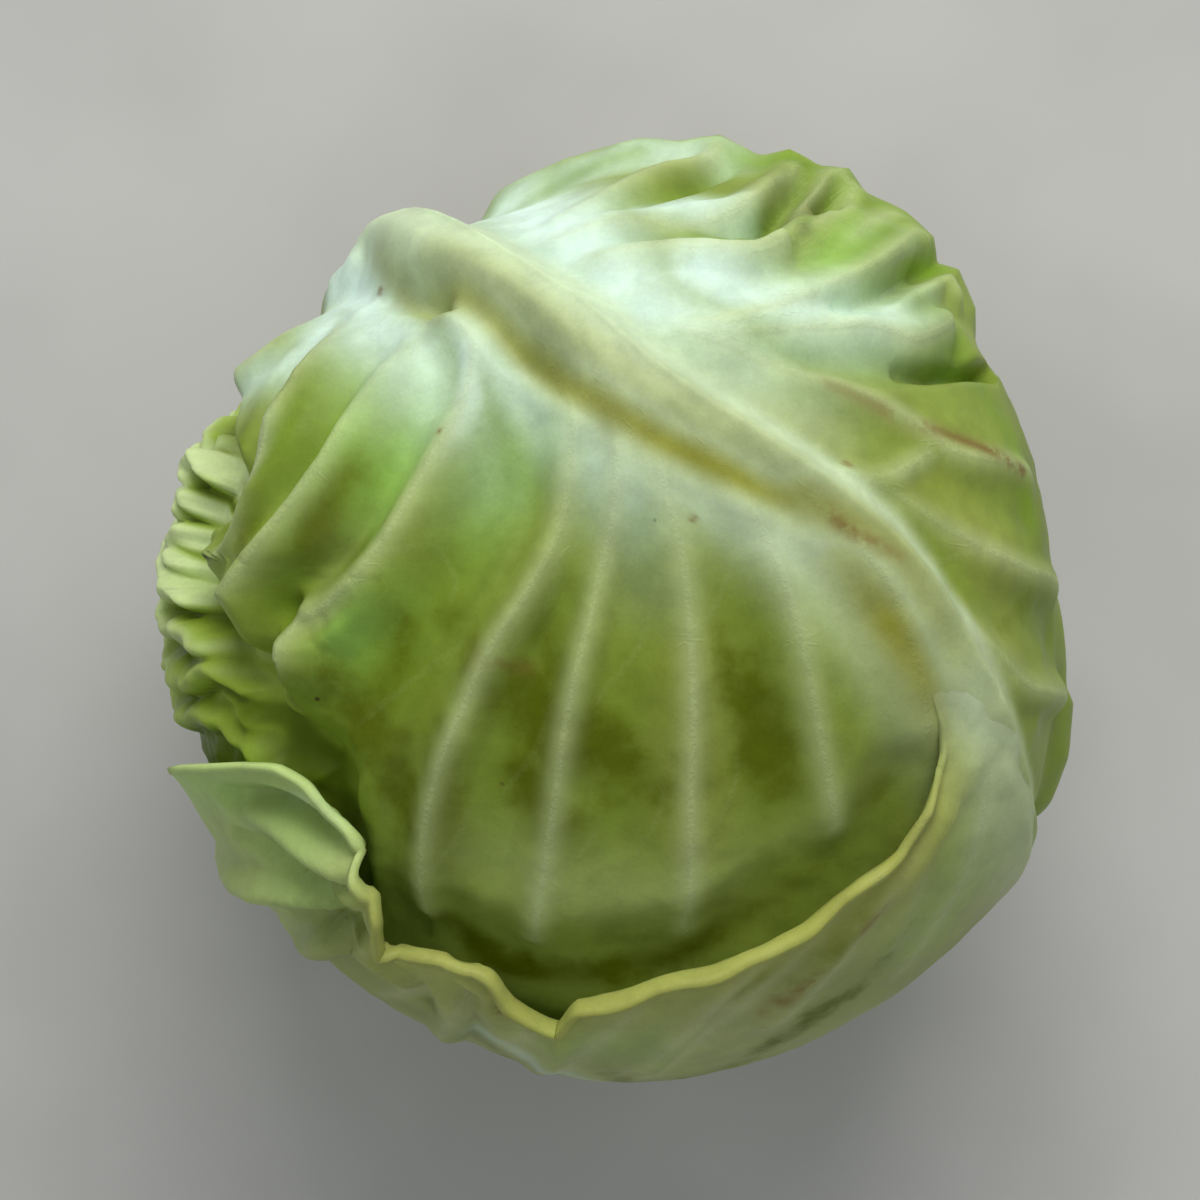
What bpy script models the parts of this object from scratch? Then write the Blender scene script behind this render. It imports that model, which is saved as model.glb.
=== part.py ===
"""Green cabbage lying on its side: a firm head, its cut stem and the wrapper leaves still round it."""

import math

import bmesh
import bpy
import numpy as np

# Driving dimensions. Lengths are millimetres, angles are degrees. Azimuths turn from +X towards +Y,
# and polar angles run down from +Z, both about the middle of the cabbage.
MIDDLE_HEIGHT = 74.0
CROWN_RISE = 77.0
CROWN_DROP = 79.0
FULLNESS = 2.2
EYE_HEIGHT = 640.0
GIRTH = (
    (0, 90.0), (30, 92.0), (47, 94.5), (62, 95.0), (77, 93.0), (90, 90.0), (103, 84.5), (118, 83.5),
    (130, 84.0), (150, 88.5), (180, 89.0), (210, 89.5), (228, 87.5), (250, 87.5), (270, 91.0),
    (290, 91.5), (315, 93.0), (338, 92.5),
)
LEAF_THICKNESS = 1.3
LEAF_GAP = 1.8
TOP_INSET = 2.2
UNDER_INSET = 2.8
LEFT_INSET = 5.0
RIGHT_INSET = 7.2
SIDE_FLOOR = 14.0
HEAD_INSET = 16.2
LOOK_ROUND = 3.6
SHIFT = (-1.93, -1.85)

# The stem leaves the head low down at the back left, clear of the surface it lies on.
STEM_AZIMUTH = 122.0
STEM_POLAR = 127.0
STEM_RADIUS = 16.0
STEM_FROM = 70.0
STEM_TO = 97.0
STEM_CLEARANCE = 0.4

# Points below are (x, y) as seen from EYE_HEIGHT above the middle, unless their name says polar.
# Those pairs are (azimuth, polar angle).

# Top leaf: its midrib crosses the whole head, from the stem at the back left to the front right.
CREST_START_POLAR = ((123, 112), (122.5, 100), (121.5, 90))
CREST = (
    (-43, 81), (-34, 81), (-26, 77), (-16, 71), (-4, 63.5), (6, 54.5), (18, 45.5), (30, 37.5),
    (42, 29.5), (52, 21.5), (60, 13.5), (67, 3.5), (73, -8.5), (78, -18.5), (81, -28.5), (83, -38.5),
)
CREST_END_POLAR = ((-32, 92), (-38, 102))
CREST_HEIGHT = (8, 9, 9, 9, 8.5, 8, 8, 7.5, 6.5, 5, 4, 3)
CREST_SLOPE_WIDTH = (14, 20, 24, 26, 30, 34, 38, 40, 38, 34, 28, 24)
CREST_FALL_WIDTH = 8.0
UNDERCUT = 0.5
SECOND_START_POLAR = ((134, 108), (132, 96))
SECOND = (
    (-55, 72), (-46, 73.5), (-38, 71), (-22, 61.5), (-10, 53.5), (2, 42.5), (10, 35.5), (18, 29.5),
    (27, 22.5),
)
TROUGH = ((-36, 76.5), (-18, 65.5), (-2, 55.5), (10, 45.5), (22, 37.5), (34, 28.5), (44, 19.5))
GROOVE = ((-55, 66.5), (-46, 65.5), (-36, 64), (-26, 61), (-16, 54.5), (-10, 47.5))

# Ribs and folds of the top leaf: path, heights along it, width of its right and of its left flank
# as one walks along it.
LEFT_RIBS = (
    (((-60, 62), (-70, 54), (-80, 45.5)), (0.5, 3, 4), 6, 8),
    (((-54, 58), (-65, 47), (-75, 31), (-80, 20), (-84, 14), (-87, 7)), (1, 4.5, 7, 7.5, 6, 5), 6, 12),
    (
        ((-37.5, 56.5), (-45.5, 50), (-53, 40.5), (-60, 29.5), (-70, 16.5), (-77, 8), (-79.5, 4), (-83, -2)),
        (1, 2.6, 4.5, 6, 7, 6, 5), 5, 15,
    ),
    (
        ((-30, 59.5), (-27, 53), (-29, 45.5), (-32.5, 38.5), (-39, 27), (-44.5, 17.5), (-51, 9),
         (-60, 2), (-66, -1), (-67.5, -8)),
        (2, 2.6, 3, 3.4, 4, 5.5, 6), 5, 11,
    ),
    (
        ((-13, 51.5), (-8, 41.5), (-8, 33.5), (-10, 19.5), (-16, 6.5), (-24, -5.5), (-30, -18.5),
         (-34.5, -29.5), (-37.5, -42.5), (-38.5, -60.5)),
        (1.5, 2.6, 2.8, 2.6, 2.4, 1.6), 4.5, 6.5,
    ),
    (
        ((-2, 43.5), (1, 33.5), (0, 19.5), (-3, 5.5), (-6, -6.5), (-9, -20.5), (-11, -34.5),
         (-13, -48.5), (-16, -66.5)),
        (1.2, 2, 2.2, 2, 1.6, 1), 4.5, 5.5,
    ),
    (
        ((6, 37.5), (10, 25.5), (14, 11.5), (16, -4.5), (16.5, -20.5), (16, -36.5), (16, -50.5),
         (15.5, -64.5)),
        (1, 1.6, 1.8, 1.8, 1.4, 1), 8, 8,
    ),
    (
        ((18, 31.5), (27, 19.5), (34, 5.5), (38, -6.5), (41, -20.5), (44, -34.5), (46, -42.5)),
        (0.8, 1.3, 1.2, 0.8), 5, 6,
    ),
    (((36, 23.5), (48, 11.5), (55, -0.5), (59, -12.5), (61, -20.5)), (0.8, 1.2, 0.8), 5, 5),
)
LEFT_HOLLOWS = (
    (((-58, 48), (-64, 37), (-72, 24), (-78, 14)), (0.5, 3, 5, 5), 7, 7),
    (((-68, 55), (-75, 46), (-82, 38)), (0.5, 2.5, 3), 5, 5),
    (((-42, 42), (-48, 30), (-58, 14), (-66, 4)), (0.5, 2, 3, 3), 9, 9),
    (((-50, 6), (-59, -1), (-64, 1)), (1, 4, 3), 5, 5),
    (((-22, 48), (-22, 32), (-28, 15), (-38, -2), (-50, -16), (-57, -24)), (1, 2.6, 2.6, 2, 1.5), 12, 12),
    (((-5, 30), (-8, 8), (-16, -12), (-22, -30), (-26, -50)), (0.5, 1.5, 1.6, 1.2), 8, 8),
    (((6, 20), (5, -5), (2, -30), (0, -55)), (0.5, 1.4, 1.4, 1), 9, 9),
    (((28, 12), (30, -8), (32, -30), (32, -50)), (0.5, 1.5, 1.8, 1.5), 11, 11),
    (
        ((-44, -60), (-30, -64), (-14, -70), (5, -68), (20, -64), (38, -56), (50, -46), (58, -34)),
        (3, 3.5, 3.5, 2), 13, 13,
    ),
)
RIGHT_RIBS = (
    (((-10, 80), (1, 86.5), (11.5, 91), (19, 92.5), (22, 96)), (1.2, 2, 3, 3.5), 5, 5),
    (((-10, 75.5), (1, 80), (13.5, 81.5), (21, 83.5), (29, 85.5), (37, 90)), (1.2, 2, 3.5, 4), 5, 7),
    (((-4.5, 71.5), (4, 74), (15, 75.5), (23.5, 75.5), (33.5, 75)), (1.2, 2, 3, 3.5), 6, 4),
    (((33.5, 75), (37.5, 82), (40, 87), (45, 90.5), (49, 88.5), (50.5, 86)), (3, 5, 5, 4), 4, 4),
    (((36.5, 75.5), (41.5, 79.5), (47, 83), (48, 85)), (1.5, 3, 3), 6, 3),
    (((48, 76), (54, 80), (58, 82)), (2, 3, 2), 6, 6),
    (((36, 65), (45.5, 68), (54.5, 72.5), (60.5, 76.5), (64, 78)), (1.5, 3.5, 4.5), 5, 7),
    (((60, 66), (67, 69.5), (70, 66)), (1.5, 3.5, 3.5), 6, 5),
    (((16, 58), (28, 61), (40, 64)), (1, 1.6, 1), 6, 6),
    (((18, 55.5), (29, 57.5), (46, 59), (52, 59.5), (63, 57.5), (70, 60.5)), (1, 2, 3, 4), 8, 6),
    (
        ((14, 56), (34, 50), (44.5, 47.5), (55, 43), (64, 37.5), (71, 33), (84, 29.5)),
        (0.6, 0.9, 1.1, 1), 6, 4,
    ),
    (((47, 28), (55, 28), (64, 33)), (0.8, 1.2, 0.8), 4, 4),
    (
        ((48, 27.5), (54, 25.5), (66, 18.5), (76.5, 13), (84.5, 9.5), (89.5, 7)),
        (0.5, 0.8, 1.1, 1.2), 7, 5,
    ),
    (((70, -0.5), (82, -12.5), (87.5, -14.5), (93, -16)), (0.8, 1.6, 3), 6, 6),
)
RIGHT_HOLLOWS = (
    (((2, 82.5), (10, 85), (16, 87), (24, 89)), (1, 3, 3), 5, 5),
    (((2, 76.5), (10, 78), (18, 79.5), (26, 79), (33, 79.5), (38, 85)), (1, 3.2, 6.5, 7, 5), 5.5, 5.5),
    (((42, 81), (46, 84.5)), (5, 6), 4, 4),
    (((46, 62), (55, 66), (62, 68.5), (66, 73)), (1.5, 3.5, 5, 5), 4.5, 4.5),
    (((30, 53), (44, 53), (58, 52), (70, 54)), (1, 2.5, 3.5), 8, 8),
    (((59, 50), (65, 49.6), (76, 49)), (2, 5.5, 6), 3, 3),
    (((50, 40), (66, 28), (82, 22)), (0.5, 1.1, 1.2), 9, 9),
    (((62, 14), (74, 4), (88, -2)), (0.5, 1.1, 1.5), 9, 9),
)

# Margin of the top leaf: to the left and the lower left it shows, elsewhere it is turned out of sight.
TOP_MARGIN_LEFT = (
    (-78.4, 38.4), (-75.8, 33.6), (-75.6, 29), (-77, 26), (-80.2, 20.6), (-83, 17.6),
    (-83.8, 14.6), (-83, 11.8), (-81.2, 9), (-79.8, 6.4), (-79.4, 3.2), (-78.2, -0.6),
    (-75.4, -4.2), (-69.6, -8.4), (-67, -9.4), (-66, -13.6), (-64.4, -16.4), (-61, -21.5),
    (-55, -26), (-52, -31.5), (-52, -37), (-49, -50),
)
MARGIN_LOWEST = 71.0
TOP_MARGIN_POLAR = (
    (-121, 68), (-110, 71), (-95, 71), (-80, 71), (-66, 74), (-56, 84), (-46, 98), (-39, 104),
)
TOP_MARGIN_RIGHT_POLAR = (
    (-28, 98), (-15, 93), (0, 90), (20, 88), (40, 86), (60, 85), (80, 86), (100, 90), (112, 101),
)
TOP_MARGIN_BASE_POLAR = ((119, 110), (127, 111), (134, 103), (141, 92), (147, 81), (150.6, 75))
EDGE_OUTLINE = (
    (83, -48), (87.8, -38), (91.8, -28), (92.8, -17), (91.4, -14), (90.5, 0), (88, 9.6), (85.8, 23.6),
    (84.8, 31.6), (81.8, 39.6), (77.8, 48.6), (69.8, 49.6), (72.8, 54.6), (73, 62), (69.8, 70), (65.4, 71.2),
    (64.8, 76.6), (58.8, 81.6), (50.8, 85.6), (47.8, 90.2), (41.8, 90.6), (35.8, 94), (29.8, 92.6),
    (21.8, 96.8), (13.8, 95.6), (5.8, 96.4), (-4.2, 93.6), (-16.2, 89.2), (-24.2, 84.6), (-28.5, 80.6),
)

# Lower lobe of the top leaf: its free lip crosses the front of the head and stands clear of the blade.
LIP = (
    (59, -8), (62, -15), (65.5, -28), (63, -36.5), (58, -46.5), (48, -54.5), (34, -63.5), (18, -69.5),
    (6, -73.5), (-6, -76.5), (-10.5, -82), (-19.5, -77), (-25, -70.5), (-30, -69), (-36, -67.5), (-44.5, -65),
    (-44, -56), (-49, -47), (-52, -43), (-57, -39), (-60, -35), (-66, -31), (-74, -30.5), (-84, -31),
    (-91, -31),
)
LIP_LIFT_POLAR = (
    (-161, 8), (-156, 6.5), (-150, 5), (-135, 5), (-110, 6), (-80, 6), (-50, 5.5), (-35, 4.5), (-24, 2.5),
    (-14, 0.2), (-5, -0.5),
)
LOBE_OUTER_POLAR = (
    (-161.5, 84), (-158, 86), (-155, 88), (-152, 96), (-140, 108), (-120, 114), (-108, 104), (-98, 90),
    (-90, 88), (-82, 90), (-74, 102), (-60, 116), (-46, 110), (-38, 101),
)
LOBE_FROM = -9.0
LOBE_TO = -160.5
LIP_ROLL_POLAR = (
    (-160, 1.2), (-140, 1.6), (-112, 2.2), (-95, 2.6), (-80, 2.8), (-60, 2.4), (-40, 1.5), (-15, 1.1),
)
LIP_TURN = 115.0
LOBE_RIBS = (
    (((77, -20), (70, -33), (62, -47), (56, -66)), (1, 1.6, 1.4, 1), 5, 5),
    (((66, -40), (50, -62), (32, -82)), (0.8, 1.6, 1.4), 5, 5),
    (((30, -66), (18, -80), (8, -92)), (0.8, 1.6, 1.4), 5, 5),
    (((-4, -78), (-10, -88), (-16, -94)), (1, 1.6, 1), 4, 4),
)
LOBE_PLEATS = (
    (
        ((-79, -39), (-71, -39.5), (-62, -46), (-53, -52), (-47.5, -54.5), (-45, -60), (-45.5, -65)),
        (0, 1, 3, 6, 7.5, 7, 3), 5, 3.4,
    ),
    (
        ((-72, -53), (-62, -54.5), (-55, -56), (-50, -58.5), (-49, -63), (-50, -68)),
        (0, 1, 3, 6, 5.5, 3), 4.4, 3.4,
    ),
    (((-63, -66), (-56, -65), (-50, -69), (-43, -73)), (0, 0.5, 2, 4, 3), 4.5, 3.6),
    (((-43, -70), (-36, -74), (-32, -80), (-34, -86)), (3, 3.5, 3, 1), 4.5, 4),
    (((-30, -71), (-26, -77), (-22, -84)), (2, 2.5, 1), 4, 4),
)
LOBE_HOLLOWS = (
    (((-48, -61), (-50, -57), (-56, -53), (-66, -48.5), (-75, -44)), (3, 4, 4, 2), 3, 3),
    (((-48, -49), (-58, -42), (-67, -37), (-76, -35.5)), (2, 4, 4, 2), 4, 4),
    (((-64, -60), (-56, -61), (-52, -64)), (1, 3, 3), 3.4, 3.4),
    (((-28, -74), (-35, -70.5), (-42, -68)), (2, 3, 2), 4, 4),
)

# Left leaf: thin and crumpled into rolled folds where it comes out from under the top leaf.
LEFT_SPAN = (136.0, 237.0)
LEFT_POLAR = ((136, 64, 112), (150, 60, 126), (175, 44, 130), (200, 32, 128), (222, 34, 118), (237, 47, 104))
CRUMPLES = (
    (((-86, 34), (-83, 37), (-78, 37.5)), (4, 5, 4), 3.2, 3.2),
    (((-87, 28.5), (-85.5, 32.5), (-81.5, 32.5), (-78, 27)), (4, 6, 7, 5), 4.2, 4.4),
    (((-82, 31), (-82.5, 25), (-82.5, 20), (-82, 15)), (4, 5.5, 6, 5), 3.8, 4),
    (
        ((-93, 22.5), (-89.5, 25), (-87, 23), (-87, 19), (-90.5, 16), (-90, 12.5), (-85.5, 9.5),
         (-79.5, 9.5)),
        (4, 5.5, 6, 6, 6, 4), 3.4, 3.6,
    ),
    (
        ((-93, 11.5), (-90, 6.8), (-86, 5.8), (-82, 4), (-79.5, -0.5), (-75, -6.5), (-68, -13)),
        (4.5, 6, 6.5, 6, 4.5, 3), 3.8, 3.8,
    ),
    (
        ((-93, 3), (-90, -1.5), (-84.5, -5.5), (-78, -8.5), (-71, -13), (-65.5, -17)),
        (4.5, 5.5, 6, 5, 3), 4.2, 4.4,
    ),
    (((-91.5, -9), (-87.5, -12), (-82, -12), (-76, -14.5), (-69, -19), (-62, -27)), (4, 5, 5, 4, 3), 4, 4),
    (((-88, -19), (-80.5, -21.5), (-75, -27), (-70, -35)), (3.5, 4.5, 4.5, 3), 4, 5),
    (((-62, -22), (-58, -30), (-54, -40), (-50, -52)), (2.5, 3, 3, 2), 5, 5),
)
CRUMPLE_HOLLOWS = (
    (((-83.5, 36), (-79.5, 33.5)), (3, 4), 3.5, 3.5),
    (((-80, -16), (-74, -20), (-68, -27)), (1, 2.5, 2), 3, 3),
    (((-66, -26), (-60, -36), (-56, -48)), (2, 3, 2), 5, 5),
)

# Right leaf and under leaf: their midribs and veins, as (azimuth, polar) pairs.
RIGHT_SPAN = (-117.0, 105.0)
RIGHT_TOP_POLAR = ((-117, 84), (-100, 76), (-60, 72), (-10, 68), (30, 66), (70, 68), (92, 80), (105, 98))
RIGHT_BOTTOM_POLAR = (
    (-117, 108), (-95, 124), (-60, 130), (-10, 134), (30, 137), (70, 138), (92, 134), (105, 122),
)
RIGHT_MIDRIB_POLAR = ((105, 112), (80, 114), (50, 113), (15, 110), (-20, 107), (-60, 104), (-110, 97))
RIGHT_VEIN_FEET = (88, 68, 48, 28, 8, -14, -38, -64)
LEFT_MIDRIB_POLAR = ((136, 118), (160, 112), (190, 104), (225, 92))
UNDER_MIDRIB_POLAR = ((122, 142), (119, 155), (90, 174), (-40, 164), (-55, 144), (-60, 122))
UNDER_VEIN_FEET = ((118, 152), (105, 168), (30, 176), (-45, 160))
UNDER_REACH = (
    (-180, 66), (-150, 70), (-120, 66), (-90, 71), (-60, 66), (-30, 70), (0, 66), (30, 69), (60, 64),
    (90, 58), (104, 45), (122, 34), (140, 45), (154, 60),
)

TOP_CELLS = (42, 42)
LOBE_CELLS = (72, 8)
LEFT_CELLS = (24, 22)
RIGHT_CELLS = (26, 12)
UNDER_CELLS = (20, 20)
HEAD_CELLS = (24, 14)

COLOURS = {
    "head": (0.62, 0.72, 0.38),
    "stem": (0.78, 0.80, 0.58),
    "top_leaf": (0.42, 0.56, 0.22),
    "left_leaf": (0.50, 0.64, 0.26),
    "right_leaf": (0.36, 0.52, 0.20),
    "under_leaf": (0.44, 0.54, 0.26),
}


def smooth_path(points, pieces=6):
    """A smooth curve through points chosen by hand."""
    given = np.array(points, float)
    ends = np.vstack([2 * given[0] - given[1], given, 2 * given[-1] - given[-2]])
    t = np.linspace(0, 1, pieces, endpoint=False)[:, None]
    spans = []
    for a, b, c, d in zip(ends, ends[1:], ends[2:], ends[3:]):
        bend = (c - a) * t + (2 * a - 5 * b + 4 * c - d) * t**2 + (3 * b - a - 3 * c + d) * t**3
        spans.append(b + 0.5 * bend)
    return np.vstack(spans + [given[-1:]])


def ease(low, high, value):
    """0 below low, 1 above high, smooth between."""
    t = np.clip((value - low) / (high - low), 0, 1)
    return t * t * (3 - 2 * t)


def even_curve(pairs, step=0.5):
    """Values at even steps through (place, value) pairs, with no swing beyond the given values."""
    given = np.array(pairs, float)
    gap = np.diff(given[:, 0])
    rise = np.diff(given[:, 1]) / gap
    slope = np.zeros(len(given))
    agree = rise[1:] * rise[:-1] > 0
    slope[1:-1][agree] = 2 * rise[1:][agree] * rise[:-1][agree] / (rise[1:] + rise[:-1])[agree]
    place = np.arange(given[0, 0], given[-1, 0] + step / 2, step)
    index = np.clip(np.searchsorted(given[:, 0], place, side="right") - 1, 0, len(gap) - 1)
    t = (place - given[index, 0]) / gap[index]
    blend = t * t * (3 - 2 * t)
    value = given[index, 1] * (1 - blend) + given[index + 1, 1] * blend
    value += t * (1 - t) * gap[index] * (slope[index] * (1 - t) - slope[index + 1] * t)
    return np.stack([place, value], axis=1)


def turn_table(pairs):
    """A smooth curve of (azimuth, value) pairs that closes on itself after a whole turn."""
    ordered = sorted((azimuth % 360, value) for azimuth, value in pairs)
    before = [(azimuth - 360, value) for azimuth, value in ordered[-2:]]
    after = [(azimuth + 360, value) for azimuth, value in ordered[:2]]
    return even_curve(before + ordered + after)


def look_up(table, azimuth):
    return np.interp(np.mod(azimuth, 360), table[:, 0], table[:, 1])


GIRTH_TABLE = turn_table(GIRTH)


def unit(azimuth, polar):
    """Unit vectors from azimuths and polar angles."""
    turn = np.radians(azimuth)
    tip = np.radians(polar)
    return np.stack([np.sin(tip) * np.cos(turn), np.sin(tip) * np.sin(turn), np.cos(tip)], axis=-1)


def angles(direction):
    azimuth = np.degrees(np.arctan2(direction[:, 1], direction[:, 0]))
    polar = np.degrees(np.arccos(np.clip(direction[:, 2], -1, 1)))
    return azimuth, polar


def head_radius(direction):
    """Distance from the middle to the outside of the whole cabbage, before its ribs and folds."""
    azimuth, _ = angles(direction)
    across = np.hypot(direction[:, 0], direction[:, 1])
    tall = np.where(direction[:, 2] > 0, CROWN_RISE, CROWN_DROP)
    level = (across / look_up(GIRTH_TABLE, azimuth)) ** FULLNESS
    upright = (np.abs(direction[:, 2]) / tall) ** FULLNESS
    return (level + upright) ** (-1 / FULLNESS)


def seen_angles(points, lift=0.0):
    """Azimuth and polar angle of points read from above, where the line of sight meets a lifted surface."""
    spot = np.array(points, float)
    across = np.hypot(spot[:, 0], spot[:, 1])
    azimuth = np.degrees(np.arctan2(spot[:, 1], spot[:, 0]))
    sight = np.arctan2(across, EYE_HEIGHT)
    polar = np.full(len(spot), 45.0)
    for _ in range(12):
        radius = head_radius(unit(azimuth, polar)) + lift
        polar = np.degrees(np.arcsin(np.clip(EYE_HEIGHT * np.sin(sight) / radius, 0, 1)) - sight)
    return azimuth, polar


def line_on_head(points, before=(), after=(), height=0.0, inset=0.0):
    """A curve on the cabbage through seen points, with (azimuth, polar) pairs at its hidden ends."""
    lift = level_at(height, np.linspace(0, 1, len(points))) - inset
    azimuth, polar = seen_angles(points, lift)
    parts = [np.array(before, float).reshape(-1, 2), np.stack([azimuth, polar], axis=1)]
    parts.append(np.array(after, float).reshape(-1, 2))
    pairs = np.vstack(parts)
    direction = unit(pairs[:, 0], pairs[:, 1])
    smooth = smooth_path(direction, 4)
    smooth /= np.linalg.norm(smooth, axis=1)[:, None]
    return smooth * head_radius(smooth)[:, None]


def measure(place, line):
    """Distance of each place from a line, minus to its right, and how far along the line that is."""
    step = np.diff(line, axis=0)
    length = np.linalg.norm(step, axis=1)
    run = np.concatenate([[0], np.cumsum(length)])
    best = np.full(len(place), 1e9)
    along = np.zeros(len(place))
    side = np.ones(len(place))
    for index, start in enumerate(line[:-1]):
        away = place - start
        share = np.clip(away @ step[index] / length[index] ** 2, 0, 1)
        distance = np.linalg.norm(away - share[:, None] * step[index], axis=1)
        near = distance < best
        best[near] = distance[near]
        along[near] = (run[index] + share[near] * length[index]) / run[-1]
        turn = np.einsum("ij,ij->i", np.cross(step[index], away[near]), place[near])
        side[near] = np.where(turn < 0, -1, 1)
    return best * side, along


def level_at(values, along):
    values = np.atleast_1d(np.array(values, float))
    return np.interp(along, np.linspace(0, 1, len(values)), values)


def rib(place, line, height, right, left, undercut=0.0):
    """A rounded ridge along a line, as wide on each side as its flanks, with a trough to its right."""
    distance, along = measure(place, line)
    share = np.clip(np.abs(distance) / np.where(distance < 0, right, left), 0, 1)
    past = np.clip((-distance / right - 0.7) / 1.8, 0, 1)
    trough = undercut * np.sin(math.pi * past) ** 2
    return level_at(height, along) * ((1 - share**2) ** 2 - trough)


def ribs(place, listed, inset=TOP_INSET, rising=True, undercut=0.0):
    """The sum of several ribs; hollows are listed the same way and don't rise."""
    total = np.zeros(len(place))
    for points, height, right, left in listed:
        line = line_on_head(points, height=height if rising else 0.0, inset=inset)
        total += rib(place, line, height, right, left, undercut)
    return total


def rolls(place, listed, inset):
    """Rounded rolls lying side by side with sharp creases between; those at the outline run on down."""
    found = np.zeros(len(place))
    for points, height, right, left in listed:
        azimuth, polar = seen_angles(points[:1])
        below = ((azimuth[0] - 16, 108), (azimuth[0] - 7, 95)) if polar[0] > 74 else ()
        line = line_on_head(points, before=below, height=height, inset=inset)
        distance, along = measure(place, line)
        share = np.clip(np.abs(distance) / np.where(distance < 0, right, left), 0, 1)
        found = np.maximum(found, level_at(height, along) * (1 - share**2))
    return found


def midrib_relief(place):
    """The sharp crest of the midrib: steep towards the right blade, a long slope towards the left."""
    crest = line_on_head(CREST, CREST_START_POLAR, CREST_END_POLAR, CREST_HEIGHT, TOP_INSET)
    distance, along = measure(place, crest)
    height = level_at(CREST_HEIGHT, along)
    slope = np.clip(-distance / level_at(CREST_SLOPE_WIDTH, along), 0, 1)
    fall = np.clip(distance / CREST_FALL_WIDTH, 0, 1)
    left = (1 - slope) ** 1.5
    right = 0.72 * (1 - fall) ** 1.6 + 0.28 * np.clip(1 - distance / 34, 0, 1) ** 2
    crest_relief = height * np.where(distance < 0, left, right)
    second = line_on_head(SECOND, SECOND_START_POLAR)
    trough = line_on_head(TROUGH)
    groove = line_on_head(GROOVE)
    lower = rib(place, trough, (1.4, 3.2, 3.4, 3, 1.8, 0.8), 7.5, 7.5)
    lower += rib(place, groove, (1, 2.2, 2.2, 1), 5, 5)
    return crest_relief + rib(place, second, (3, 3.5, 4, 3.5, 2.4, 1), 7, 7) - lower


def edge_radius(azimuth, polar):
    """How far out the right margin stands, so that from above it draws its ragged outline."""
    spot = np.array(EDGE_OUTLINE, float)
    turn = np.degrees(np.arctan2(spot[:, 1], spot[:, 0]))
    reach = np.hypot(spot[:, 0], spot[:, 1])
    across = np.interp(azimuth, turn, reach)
    tip = np.radians(polar)
    return across * EYE_HEIGHT / (EYE_HEIGHT * np.sin(tip) + across * np.cos(tip))


def turned_down(azimuth, low, high):
    """1 between two azimuths given as 0 to 360, fading out over 12 degrees at both."""
    turn = np.mod(azimuth, 360)
    return ease(low - 6, low + 6, turn) * ease(high + 6, high - 6, turn)


def blade_relief(place):
    """Midrib, ribs, folds and hollows of the top leaf."""
    relief = midrib_relief(place)
    relief += ribs(place, LEFT_RIBS, undercut=UNDERCUT) - ribs(place, LEFT_HOLLOWS, rising=False)
    relief += ribs(place, RIGHT_RIBS) - ribs(place, RIGHT_HOLLOWS, rising=False)
    return np.maximum(relief, -6.0)


def top_outline():
    """Polar angle of the top leaf's margin, by azimuth."""
    lift = 0.0
    for _ in range(3):
        azimuth, polar = seen_angles(TOP_MARGIN_LEFT, lift)
        direction = unit(azimuth, polar)
        lift = blade_relief(direction * head_radius(direction)[:, None]) - TOP_INSET
    shown = tuple(zip(azimuth, np.minimum(polar + 1.0, MARGIN_LOWEST)))
    return turn_table(shown + TOP_MARGIN_POLAR + TOP_MARGIN_RIGHT_POLAR + TOP_MARGIN_BASE_POLAR)


TOP_OUTLINE = top_outline()


def top_radius(direction):
    """Outer surface of the top leaf."""
    azimuth, polar = angles(direction)
    base = head_radius(direction)
    radius = base - TOP_INSET + blade_relief(direction * base[:, None])
    to_edge = (look_up(TOP_OUTLINE, azimuth) - polar) * np.radians(1) * base
    folded_under = turned_down(azimuth, 146, 226) * np.clip(1 - to_edge / 8, 0, 1) ** 2
    radius -= 3.6 * folded_under
    outward = ease(-32, -22, azimuth) * ease(112, 104, azimuth) * ease(16, 2, to_edge)
    return radius * (1 - outward) + (edge_radius(azimuth, polar) - 0.3) * outward


def crowd(count, middle, width, extra):
    """Positions from -1 to 1 that lie closer together round one value."""
    fine = np.linspace(-1, 1, 801)
    weight = 1 + extra * np.exp(-(((fine - middle) / width) ** 2))
    run = np.concatenate([[0], np.cumsum((weight[1:] + weight[:-1]) / 2)])
    return np.interp(np.linspace(0, 1, count + 1), run / run[-1], fine)


def grid_mesh(name, cells):
    """A flat grid from -1 to 1, and the place of each vertex on it."""
    mesh = bpy.data.meshes.new(name)
    shape = bmesh.new()
    bmesh.ops.create_grid(shape, x_segments=cells[0], y_segments=cells[1], size=1)
    shape.to_mesh(mesh)
    shape.free()
    spots = np.empty(len(mesh.vertices) * 3)
    mesh.vertices.foreach_get("co", spots)
    return mesh, spots.reshape(-1, 3)[:, :2]


def put_points(mesh, points):
    """Moves the vertices to points in millimetres about the middle of the cabbage."""
    moved = points + np.array([SHIFT[0], SHIFT[1], MIDDLE_HEIGHT])
    mesh.vertices.foreach_set("co", (moved * 0.001).ravel())
    mesh.update()


def split_faces(mesh, inside_out=False):
    """Splits each square of a leaf into triangles, the same way for both of its faces."""
    shape = bmesh.new()
    shape.from_mesh(mesh)
    if inside_out:
        bmesh.ops.reverse_faces(shape, faces=shape.faces[:])
    bmesh.ops.triangulate(shape, faces=shape.faces[:], quad_method="SHORT_EDGE")
    shape.to_mesh(mesh)
    shape.free()


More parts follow.
